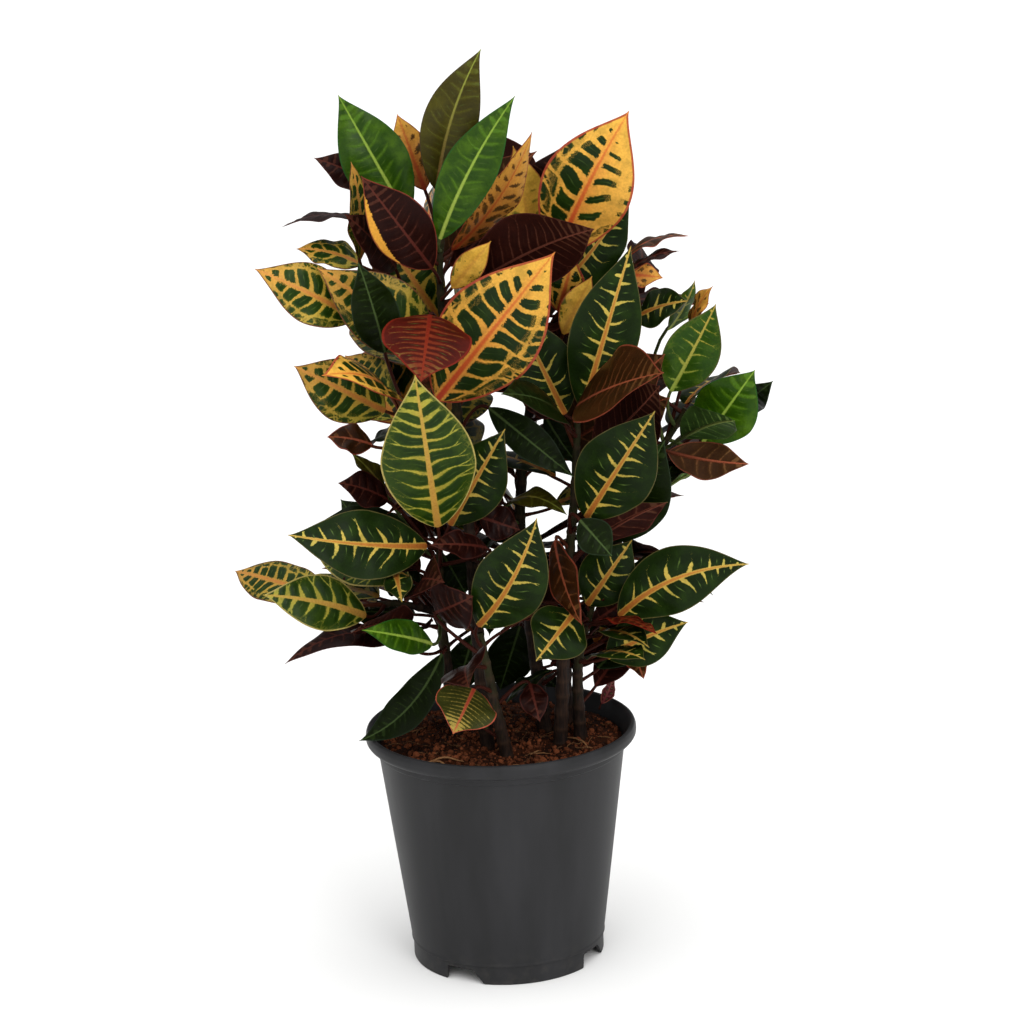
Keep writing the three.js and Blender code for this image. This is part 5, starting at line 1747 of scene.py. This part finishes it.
    def leaves(self) -> list[Blade]:
        """Finds the stem's leaves in the CAD node.

        Returns:
            The leaves where they grow.
        """
        found = [self.grown(self.front_places(row, order)) for order, row in enumerate(self.plan.leaves)]
        found = [self.rooted(blade) for blade in found if blade]
        draw = draws(self.plan.seed)
        for axis in self.axes:
            for order in range(axis.more):
                drawn = LeafDraw(*(next(draw) for _ in LeafDraw._fields))
                found.append(self.grown(self.more_places(axis, order, drawn)))
        found = [blade for blade in found if blade]
        for x, y, tone in self.plan.retones:
            nearest = min(found, key=lambda blade: math.dist(VIEW.spots([blade.tip])[0], (x, y)))
            nearest.tone = tone
        return found

    def fill(self, thicket: Thicket) -> None:
        """Grows small leaves in the free space between the others.

        Args:
            thicket: the space, which takes in each new leaf.
        """
        draw = draws(self.plan.seed + 100)
        before = len(self.blades)
        for axis in self.axes:
            for order in range(self.inner_count(axis)):
                drawn = LeafDraw(*(next(draw) for _ in LeafDraw._fields))
                blade = next(filter(thicket.free, self.inner_places(axis, order, drawn)), None)
                if blade:
                    thicket.take(*thicket.sheet(blade))
                    self.blades.append(blade)
        LOG.info("%s fills in %d small leaves", self.plan.name, len(self.blades) - before)

    def make_leaves(self) -> bpy.types.Object:
        """Makes the piece with all the stem's leaves.

        Returns:
            The piece.
        """
        sides = [side for blade in self.blades for side in (blade.tone, blade.tone.under)]
        tones = list(dict.fromkeys(sides))
        skin = Skin()
        for blade in self.blades:
            self.maker.add(skin, blade, tones.index(blade.tone), tones.index(blade.tone.under))
        LOG.info("%s grows %d leaves", self.plan.name, len(self.blades))
        return skin.build(self.plan.name + "_leaves", [finished(tone) for tone in tones])

    def make_wood(self) -> bpy.types.Object:
        """Makes the piece with the stem's trunk and branches, ringed by the scars of old leaves.

        Returns:
            The piece.
        """
        skin, w = Skin(), self.wood
        for number, points in enumerate(axis.points for axis in self.axes):
            thick, thin = (w.base, w.top) if number == 0 else (w.branch_base, w.branch_top)
            buried = points[:1] - UP * w.sunk if number == 0 else points[:0]
            path = np.concatenate([buried, points])
            length = path_length(path)
            steps = np.arange(0, length[-1], w.ring_step)
            path = np.stack([np.interp(steps, length, path[:, k]) for k in range(3)], axis=1)
            share = steps / length[-1]
            scar = np.exp(-((steps % w.scar_step - w.scar_step / 2) / w.scar_half) ** 2)
            radii = thick + (thin - thick) * share + w.scar_rise * scar
            rings = tube_rings(path, radii, w.sides)
            knobs = np.array([[noise.noise(Vector(p) / w.knob) for p in ring] for ring in rings])
            rings = rings + (rings - path[:, None]) * (w.knob_rise * knobs[..., None])
            old = np.broadcast_to(share[:, None], knobs.shape)
            scars = np.broadcast_to(0.5 * scar[:, None], knobs.shape)
            skin.loft(rings, [0] * w.sides, stem_place=rings + w.bark_step * self.plan.seed,
                      stem_age=np.stack([old, scars, knobs], -1))
        return skin.build(self.plan.name + "_wood", [finished(BarkFinish())])

    def build(self) -> None:
        """Makes both pieces and sets them on the frame."""
        for piece in (self.make_wood(), self.make_leaves()):
            dress(piece, self.plan.name)


# ---- pot


@dataclass(frozen=True)
class GrowPot:
    """The moulded grow pot: a tapered wall, a rolled rim, a foot ring with notches and a raised floor."""

    sides: int = 160
    height: float = 187.0
    foot_radius: float = 75.0
    foot_height: float = 15.0
    foot_wall: float = 3.0
    ledge: float = 0.8
    bead: float = 0.5  # how far the ridge above the foot stands out
    wall_top_radius: float = 95.6
    wall_top_height: float = 168.5
    wall: float = 2.0
    collar_radius: float = 97.6
    rim_radius: float = 105.0
    rim_height: float = 183.0
    floor_under: float = 12.0
    floor_top: float = 14.2
    notches: int = 4
    notch_azimuth: float = -29.5
    notch_half: float = 14.0
    notch_slant: float = 3.0
    notch_height: float = 11.4
    notch_inside: float = 64.0
    notch_depth: float = 18.0
    drain_radius: float = 4.5
    drain_reach: float = 58.0
    drain_sides: int = 24
    drain_past: float = 6.0  # how far the drain holes' cutter runs on
    crease: float = 40.0  # edges sharper than this many degrees stay sharp

    def wall_radius(self, height: float) -> float:
        """Gives the outside radius of the wall at a height."""
        run = self.wall_top_height - self.foot_height
        slope = (self.wall_top_radius - self.foot_radius - self.ledge) / run
        return self.wall_top_radius - (self.wall_top_height - height) * slope

    def inner_radius(self, height: float) -> float:
        """Gives the inside radius of the wall at a height."""
        return self.wall_radius(height) - self.wall

    def profile(self) -> list[tuple[float, float, float]]:
        """Lists the section's corners from the middle of the underside to that of the floor.

        Returns:
            For each corner a radius, a height and how far it is rounded.
        """
        foot, rim, top = self.foot_radius, self.rim_radius, self.height
        shelf, ridge = self.foot_height, self.wall_radius(self.foot_height) + self.bead
        return [
            (0.0, self.floor_under, 0.0), (foot - self.foot_wall + 0.6, self.floor_under, 0.6),
            (foot - self.foot_wall, 0.0, 0.6), (foot, 0.0, 0.9), (foot, shelf - 0.3, 0.15),
            (ridge, shelf + 0.1, 0.3), (ridge, shelf + 1.1, 0.4),
            (self.wall_radius(shelf + 2.4), shelf + 2.4, 0.4),
            (self.wall_top_radius, self.wall_top_height, 0.5),
            (self.collar_radius, self.wall_top_height + 1.2, 0.5),
            (self.collar_radius + 0.6, self.rim_height - 9.0, 1.2),
            (rim - 2.0, self.rim_height - 7.2, 1.5), (rim, self.rim_height - 4.6, 1.8),
            (rim, self.rim_height, 1.2),
            (rim - 1.2, top - 0.8, 0.8), (rim - 3.2, top, 0.9), (rim - 5.0, top - 1.6, 0.9),
            (self.inner_radius(self.wall_top_height) + 3.2, top - 9.0, 1.5),
            (self.inner_radius(self.wall_top_height - 3), self.wall_top_height - 3, 1.0),
            (self.inner_radius(self.floor_top), self.floor_top, 1.0), (0.0, self.floor_top, 0.0),
        ]

    def rounded(self) -> np.ndarray:
        """Rounds the section's corners.

        Returns:
            The section as rows of radius and height.
        """
        corners = self.profile()
        line = [np.array(corners[0][:2])]
        for before, corner, after in zip(corners, corners[1:], corners[2:]):
            here = np.array(corner[:2])
            back, on = np.array(before[:2]) - here, np.array(after[:2]) - here
            reach = min(corner[2], 0.45 * np.linalg.norm(back), 0.45 * np.linalg.norm(on))
            start, end = here + unit(back) * reach, here + unit(on) * reach
            for t in (0.0, 0.25, 0.5, 0.75, 1.0):
                line.append((1 - t) ** 2 * start + 2 * t * (1 - t) * here + t * t * end)
        return np.array([*line, corners[-1][:2]])

    def turned(self) -> bpy.types.Object:
        """Turns the section round +Z to a closed mesh.

        Returns:
            The moulding before its openings are cut.
        """
        section = self.rounded()
        angles = np.arange(self.sides) * 2 * math.pi / self.sides
        ring = np.stack([np.cos(angles), np.sin(angles)], -1)
        points = [(0.0, 0.0, section[0][1])]
        for radius, height in section[1:-1]:
            points += [(x * radius, y * radius, height) for x, y in ring]
        points.append((0.0, 0.0, section[-1][1]))
        rows, n, last = len(section) - 2, self.sides, len(points) - 1
        faces: list[tuple[int, ...]] = []
        for k in range(n):
            on = (k + 1) % n
            faces.append((0, 1 + on, 1 + k))
            for row in range(rows - 1):
                low, high = 1 + row * n, 1 + (row + 1) * n
                faces.append((low + k, low + on, high + on, high + k))
            faces.append((last - n + k, last - n + on, last))
        return closed_mesh("pot_moulding", points, faces)

    def notch(self) -> list[tuple[float, float]]:
        """Lists the outline that a notch is cut with, wider at the foot and rounded above.

        Returns:
            For each corner how far it lies to the side and its height.
        """
        left, right, slant, top = -self.notch_half, self.notch_half, self.notch_slant, self.notch_height
        return [
            (left - 0.9, -2), (right + slant + 2.4, -2), (right + slant + 2.0, 0),
            (right + slant + 0.5, 0.8), (right + slant - 0.7, 2.6), (right - slant, top - 3),
            (right - 1.4 * slant, top - 1.1), (right - 2.2 * slant, top), (left + 2.2, top),
            (left + 1.1, top - 0.6), (left + 0.7, top - 1.8), (left, 1.4), (left - 0.5, 0.3),
        ]

    def cutter(self) -> bpy.types.Object:
        """Makes the shapes that the notches and drain holes are cut with.

        Returns:
            The shapes as one object.
        """
        outline, past = self.notch(), self.drain_past
        near, far = -self.notch_inside, -self.notch_inside - self.notch_depth
        drain = [(self.drain_radius * math.cos(a), self.drain_radius * math.sin(a) - self.drain_reach)
                 for a in np.arange(self.drain_sides) * 2 * math.pi / self.drain_sides]
        shapes = (
            [(x, y, z) for y in (near, far) for x, z in outline],
            [(x, y, self.floor_top + rise) for rise in (-past, past) for x, y in drain],
        )
        points: list[tuple[float, float, float]] = []
        faces: list[tuple[int, ...]] = []
        for k in range(self.notches):
            turn = math.radians(self.notch_azimuth + 360 / self.notches * k)
            cos, sin = math.cos(turn), math.sin(turn)
            for shape in shapes:
                n, base = len(shape) // 2, len(points)
                points += [(x * cos - y * sin, x * sin + y * cos, z) for x, y, z in shape]
                rim = [base + i for i in range(n)]
                faces += [(i, j, j + n, i + n) for i, j in zip(rim, rim[1:] + rim[:1])]
                faces += [tuple(reversed(rim)), tuple(i + n for i in rim)]
        return closed_mesh("pot_cutter", points, faces)

    def build(self) -> bpy.types.Object:
        """Makes the pot and sets it on the frame.

        Returns:
            The piece.
        """
        piece, cutter = self.turned(), self.cutter()
        for shape in (piece, cutter):
            edit = bmesh.new()
            edit.from_mesh(shape.data)
            bmesh.ops.recalc_face_normals(edit, faces=edit.faces)
            edit.to_mesh(shape.data)
            edit.free()
        cut = piece.modifiers.new("openings", "BOOLEAN")
        cut.operation, cut.solver, cut.object = "DIFFERENCE", "EXACT", cutter
        evaluated = piece.evaluated_get(bpy.context.evaluated_depsgraph_get())
        mesh = bpy.data.meshes.new_from_object(evaluated)
        piece.modifiers.clear()
        piece.data = mesh
        bpy.data.objects.remove(cutter)
        mesh.polygons.foreach_set("use_smooth", np.ones(len(mesh.polygons), bool))
        mesh.set_sharp_from_angle(angle=math.radians(self.crease))
        mesh.materials.clear()
        mesh.materials.append(finished(PotFinish()))
        return dress(piece, "pot")


# ---- soil


@dataclass(frozen=True)
class PeatBed:
    """The compost in the pot: a lumpy bed, loose crumbs on it and pale root fibres and bark slivers."""

    pot: GrowPot = GrowPot()
    compost: PeatFinish = PeatFinish("peat_compost", "#200e06", "#5c2d12", 3.0)
    bark: PeatFinish = PeatFinish("bark_crumbs", "#28130a", "#7a4328", 1.6)
    root: PeatFinish = PeatFinish("root_fibre", "#301b0f", "#8c6442", 5.0)
    gap: float = 0.3
    top: float = 173.0
    mound: float = 4.0
    relief: float = 1.5
    rough: float = 1.6
    rings: int = 60
    sides: int = 200
    middle_radius: float = 0.4  # of the small ring that closes the bed below
    crease: float = 65.0  # degrees
    crumbs: int = 2200
    crumb_least: float = 0.5
    crumb_draw: float = 1.9
    fibres: int = 80
    fibre_edge: float = 84.0  # radius that fibres start within
    fibre_limit: float = 90.0
    seed: int = 5
    pale_patch: tuple[float, float] = (42.0, -64.0)
    pale_patch_reach: float = 20.0
    straws: tuple[tuple[float, float, float, float], ...] = (  # where from, which way and how long
        (-61, -56, 6, 36), (-38, -66, 150, 24), (66, -30, 118, 26), (22, -52, 74, 18), (8, -80, 22, 20))

    def surface(self, x: float, y: float) -> float:
        """Works out the height of the bed: the CAD's soil with clods on it.

        Args:
            x: the place across.
            y: the place behind.

        Returns:
            The height there.
        """
        out = min(1.0, math.hypot(x, y) / self.pot.inner_radius(self.top))
        lumps = math.sin(x / 9.3 + 0.7) * math.cos(y / 7.9 - 0.4) + 0.6 * math.sin((x - y) / 5.7)
        height = self.top + self.mound * (1 - out * out) + self.relief * lumps * min(1, 4 * (1 - out))
        at = Vector((x, y, 3.0))
        clods = noise.fractal(at / 9, 0.9, 2.1, 4) + 0.5 * abs(noise.noise(at / 2.6))
        return height + self.rough * (clods - 0.3)

    def bed(self) -> bpy.types.Object:
        """Makes the bed, closed down to the pot's floor.

        Returns:
            The piece.
        """
        edge = self.pot.inner_radius(self.top) - self.gap
        low = self.pot.floor_top + self.gap
        foot = self.pot.inner_radius(low) - self.gap
        angles = np.arange(self.sides) * 2 * math.pi / self.sides
        circle = np.stack([np.cos(angles), np.sin(angles)], -1)
        rings = []
        for radius in edge * np.linspace(0.004, 1, self.rings) ** 0.9:
            ring = [(x * radius, y * radius) for x, y in circle]
            rings.append([(x, y, self.surface(x, y)) for x, y in ring])
        for radius in (foot, self.middle_radius):
            rings.append([(x * radius, y * radius, low) for x, y in circle])
        skin, made = Skin(), np.array(rings)
        skin.loft(made, [0] * self.sides, grain_tone=np.zeros_like(made))
        return skin.build("soil_bed", [finished(self.compost)])

    def spot(self, draw: random.Random, edge: float) -> tuple[float, float]:
        """Draws a place on the bed.

        Args:
            draw: the source of draws.
            edge: the radius that it lies within.

        Returns:
            The place across and behind.
        """
        out, turn = edge * math.sqrt(draw.random()), draw.uniform(0, 2 * math.pi)
        return out * math.cos(turn), out * math.sin(turn)

    def crumb_piece(self) -> bpy.types.Object:
        """Scatters crumbs of many sizes over the bed, the paler ones mostly on one patch at the front
        right.

        Returns:
            The piece.
        """
        draw, skin, sides = random.Random(self.seed), Skin(), 8
        angles = np.arange(sides) * 2 * math.pi / sides
        circle = np.stack([np.cos(angles), np.sin(angles), np.zeros(sides)], -1)
        levels = (-0.92, -0.5, 0.1, 0.65, 0.95)
        sphere = np.array([circle * math.sqrt(1 - h * h) + UP * h for h in levels])
        for _ in range(self.crumbs):
            x, y = self.spot(draw, self.pot.inner_radius(self.top) - 3)
            size = self.crumb_least + self.crumb_draw * draw.random() ** 3
            stretch = np.array([draw.uniform(0.7, 1.4) for _ in range(3)]) * size
            bumps = np.array([draw.uniform(0.78, 1.18) for _ in range(len(levels) * sides)])
            crumb = sphere * bumps.reshape(len(levels), sides, 1) * stretch
            spin = np.array(Matrix.Rotation(draw.uniform(0, 6.28), 3, (draw.random(), draw.random(), 1)))
            centre = np.array((x, y, self.surface(x, y) + 0.25 * size))
            patch_share = math.exp(-(math.dist((x, y), self.pale_patch) / self.pale_patch_reach) ** 2)
            tone = draw.random() + 0.7 * patch_share
            skin.loft(crumb @ spin.T + centre, [0] * sides, grain_tone=np.full(crumb.shape, tone))
        return skin.build("soil_crumbs", [finished(self.bark)], self.crease)

    def fibre_piece(self) -> bpy.types.Object:
        """Lays root fibres over the bed, and straws at their own places.

        Returns:
            The piece.
        """
        draw, skin, sides, steps = random.Random(self.seed + 1), Skin(), 6, 9
        for order in range(self.fibres):
            x, y = self.spot(draw, self.fibre_edge)
            heading, bend = draw.uniform(0, 2 * math.pi), draw.uniform(-0.16, 0.16)
            length, thick, tone = draw.uniform(7, 30), draw.uniform(0.3, 0.75), 0.8 * draw.random()
            if order < len(self.straws):
                x, y, azimuth, length = self.straws[order]
                heading, bend, thick, tone = math.radians(azimuth), bend / 3, 0.8, 1.2
            path = []
            while len(path) < steps and math.hypot(x, y) <= self.fibre_limit:
                hump = 0.8 * math.sin(math.pi * len(path) / (steps - 1))
                path.append((x, y, self.surface(x, y) + thick + 0.5 + hump))
                x += math.cos(heading) * length / steps
                y += math.sin(heading) * length / steps
                heading += bend
            if len(path) < 4:
                continue
            radii = thick * np.sin(np.linspace(0.35, math.pi - 0.2, len(path))) ** 0.6
            rings = tube_rings(np.array(path), radii, sides)
            skin.loft(rings, [0] * sides, grain_tone=np.full(rings.shape, tone))
        return skin.build("soil_fibres", [finished(self.root)], self.crease)

    def build(self) -> None:
        """Makes the three pieces and sets them on the frame."""
        for piece in (self.bed(), self.crumb_piece(), self.fibre_piece()):
            dress(piece, "soil")


@dataclass(frozen=True)
class FallenLeaf:
    """A small dead leaf on the compost, where the CAD's lies."""

    tip: tuple[float, float, float] = (614, 689, 58)
    heel: tuple[float, float, float] = (602, 717, 46)
    width: float = 13.0
    stalk: float = 5.0
    maker: BladeMaker = BladeMaker(
        rows=24, columns=11, quilt=0.15, ripple=0.5, stalk_radius=0.7, heel_half=0.7)

    def at(self, rise: float) -> Blade:
        """Gives the leaf this many millimetres above its first place."""
        tip, heel = (VIEW.place(spot) + UP * rise for spot in (self.tip, self.heel))
        facing = np.array(VIEW.eye) - VIEW.place(self.tip)
        return Blade(tip, heel, facing, heel - unit(tip - heel) * self.stalk, self.width, arch=0.1,
                     fold=16, roll=24, twist=30, wave=0.6, cup=0.1, phase=1, tone=Tone.FALLEN)

    def build(self) -> bpy.types.Object:
        """Makes the leaf at the height that the CAD's was set down to.

        Returns:
            The piece.
        """
        corners, skin = CadCorners("fallen_leaf"), Skin()
        places = (self.at(step / 10) for step in range(-400, 400))
        lowered = next(blade for blade in places if corners.has(blade.tip_corners(CAD_HALF_THICK)[0]))
        self.maker.add(skin, lowered, 0, 1)
        piece = skin.build("fallen_dry_leaf", [finished(Tone.FALLEN), finished(Under.MAROON)])
        return dress(piece, "fallen_leaf")


# ---- studio


@dataclass(frozen=True)
class Studio:
    """A pale floor under one wide soft light overhead, with a low softbox in front on each side."""

    floor_radius: float = 40.0
    sky: float = 0.3
    sun: float = 3.2
    sun_spread: float = 100.0  # degrees
    sun_way: tuple[float, float, float] = (-0.03, 0.12, -1.0)
    key: float = 18.0
    key_place: tuple[float, float, float] = (1.0, -2.0, 1.0)
    fill: float = 6.0
    fill_place: tuple[float, float, float] = (-0.9, -2.0, 0.8)
    softbox: float = 1.0  # a side
    target: tuple[float, float, float] = (0.0, 0.0, 0.4)

    def floor(self) -> None:
        """Lays the floor."""
        bpy.ops.mesh.primitive_circle_add(vertices=96, radius=self.floor_radius, fill_type="NGON")
        floor = bpy.context.active_object
        floor.name = "studio_floor"
        floor.data.materials.append(finished(FloorFinish()))

    def lamp(self, name: str, kind: str, power: float, way: Vector) -> bpy.types.Object:
        """Hangs a light.

        Args:
            name: its name.
            kind: SUN or AREA.
            power: its strength.
            way: the way that it shines.

        Returns:
            The light.
        """
        lamp = show(bpy.data.objects.new(name, bpy.data.lights.new(name, kind)))
        lamp.data.energy = power
        lamp.rotation_mode = "QUATERNION"
        lamp.rotation_quaternion = way.to_track_quat("-Z", "Y")
        return lamp

    def build(self) -> None:
        """Sets up the floor, the lights and the camera."""
        self.floor()
        world = bpy.data.worlds.new("pale_room")
        world.use_nodes = True
        world.node_tree.nodes["Background"].inputs["Color"].default_value = (1, 1, 1, 1)
        world.node_tree.nodes["Background"].inputs["Strength"].default_value = self.sky
        bpy.context.scene.world = world
        sun = self.lamp("overhead_light", "SUN", self.sun, Vector(self.sun_way))
        sun.data.angle = math.radians(self.sun_spread)
        for name, place, power in (("key_softbox", self.key_place, self.key),
                                   ("fill_softbox", self.fill_place, self.fill)):
            lamp = self.lamp(name, "AREA", power, Vector(self.target) - Vector(place))
            lamp.data.size, lamp.location = self.softbox, place
        bpy.context.scene.view_settings.view_transform = "Standard"
        VIEW.camera()


def main() -> None:
    """Builds the studio and the plant."""
    logging.basicConfig(level=logging.INFO, format="%(name)s: %(message)s")
    Studio().build()
    GrowPot().build()
    PeatBed().build()
    FallenLeaf().build()
    stems = [LeafyStem(plan) for plan in STEMS]
    thicket = Thicket(stems)
    for stem in stems:
        stem.fill(thicket)
        stem.build()


if __name__ == "__main__":
    main()
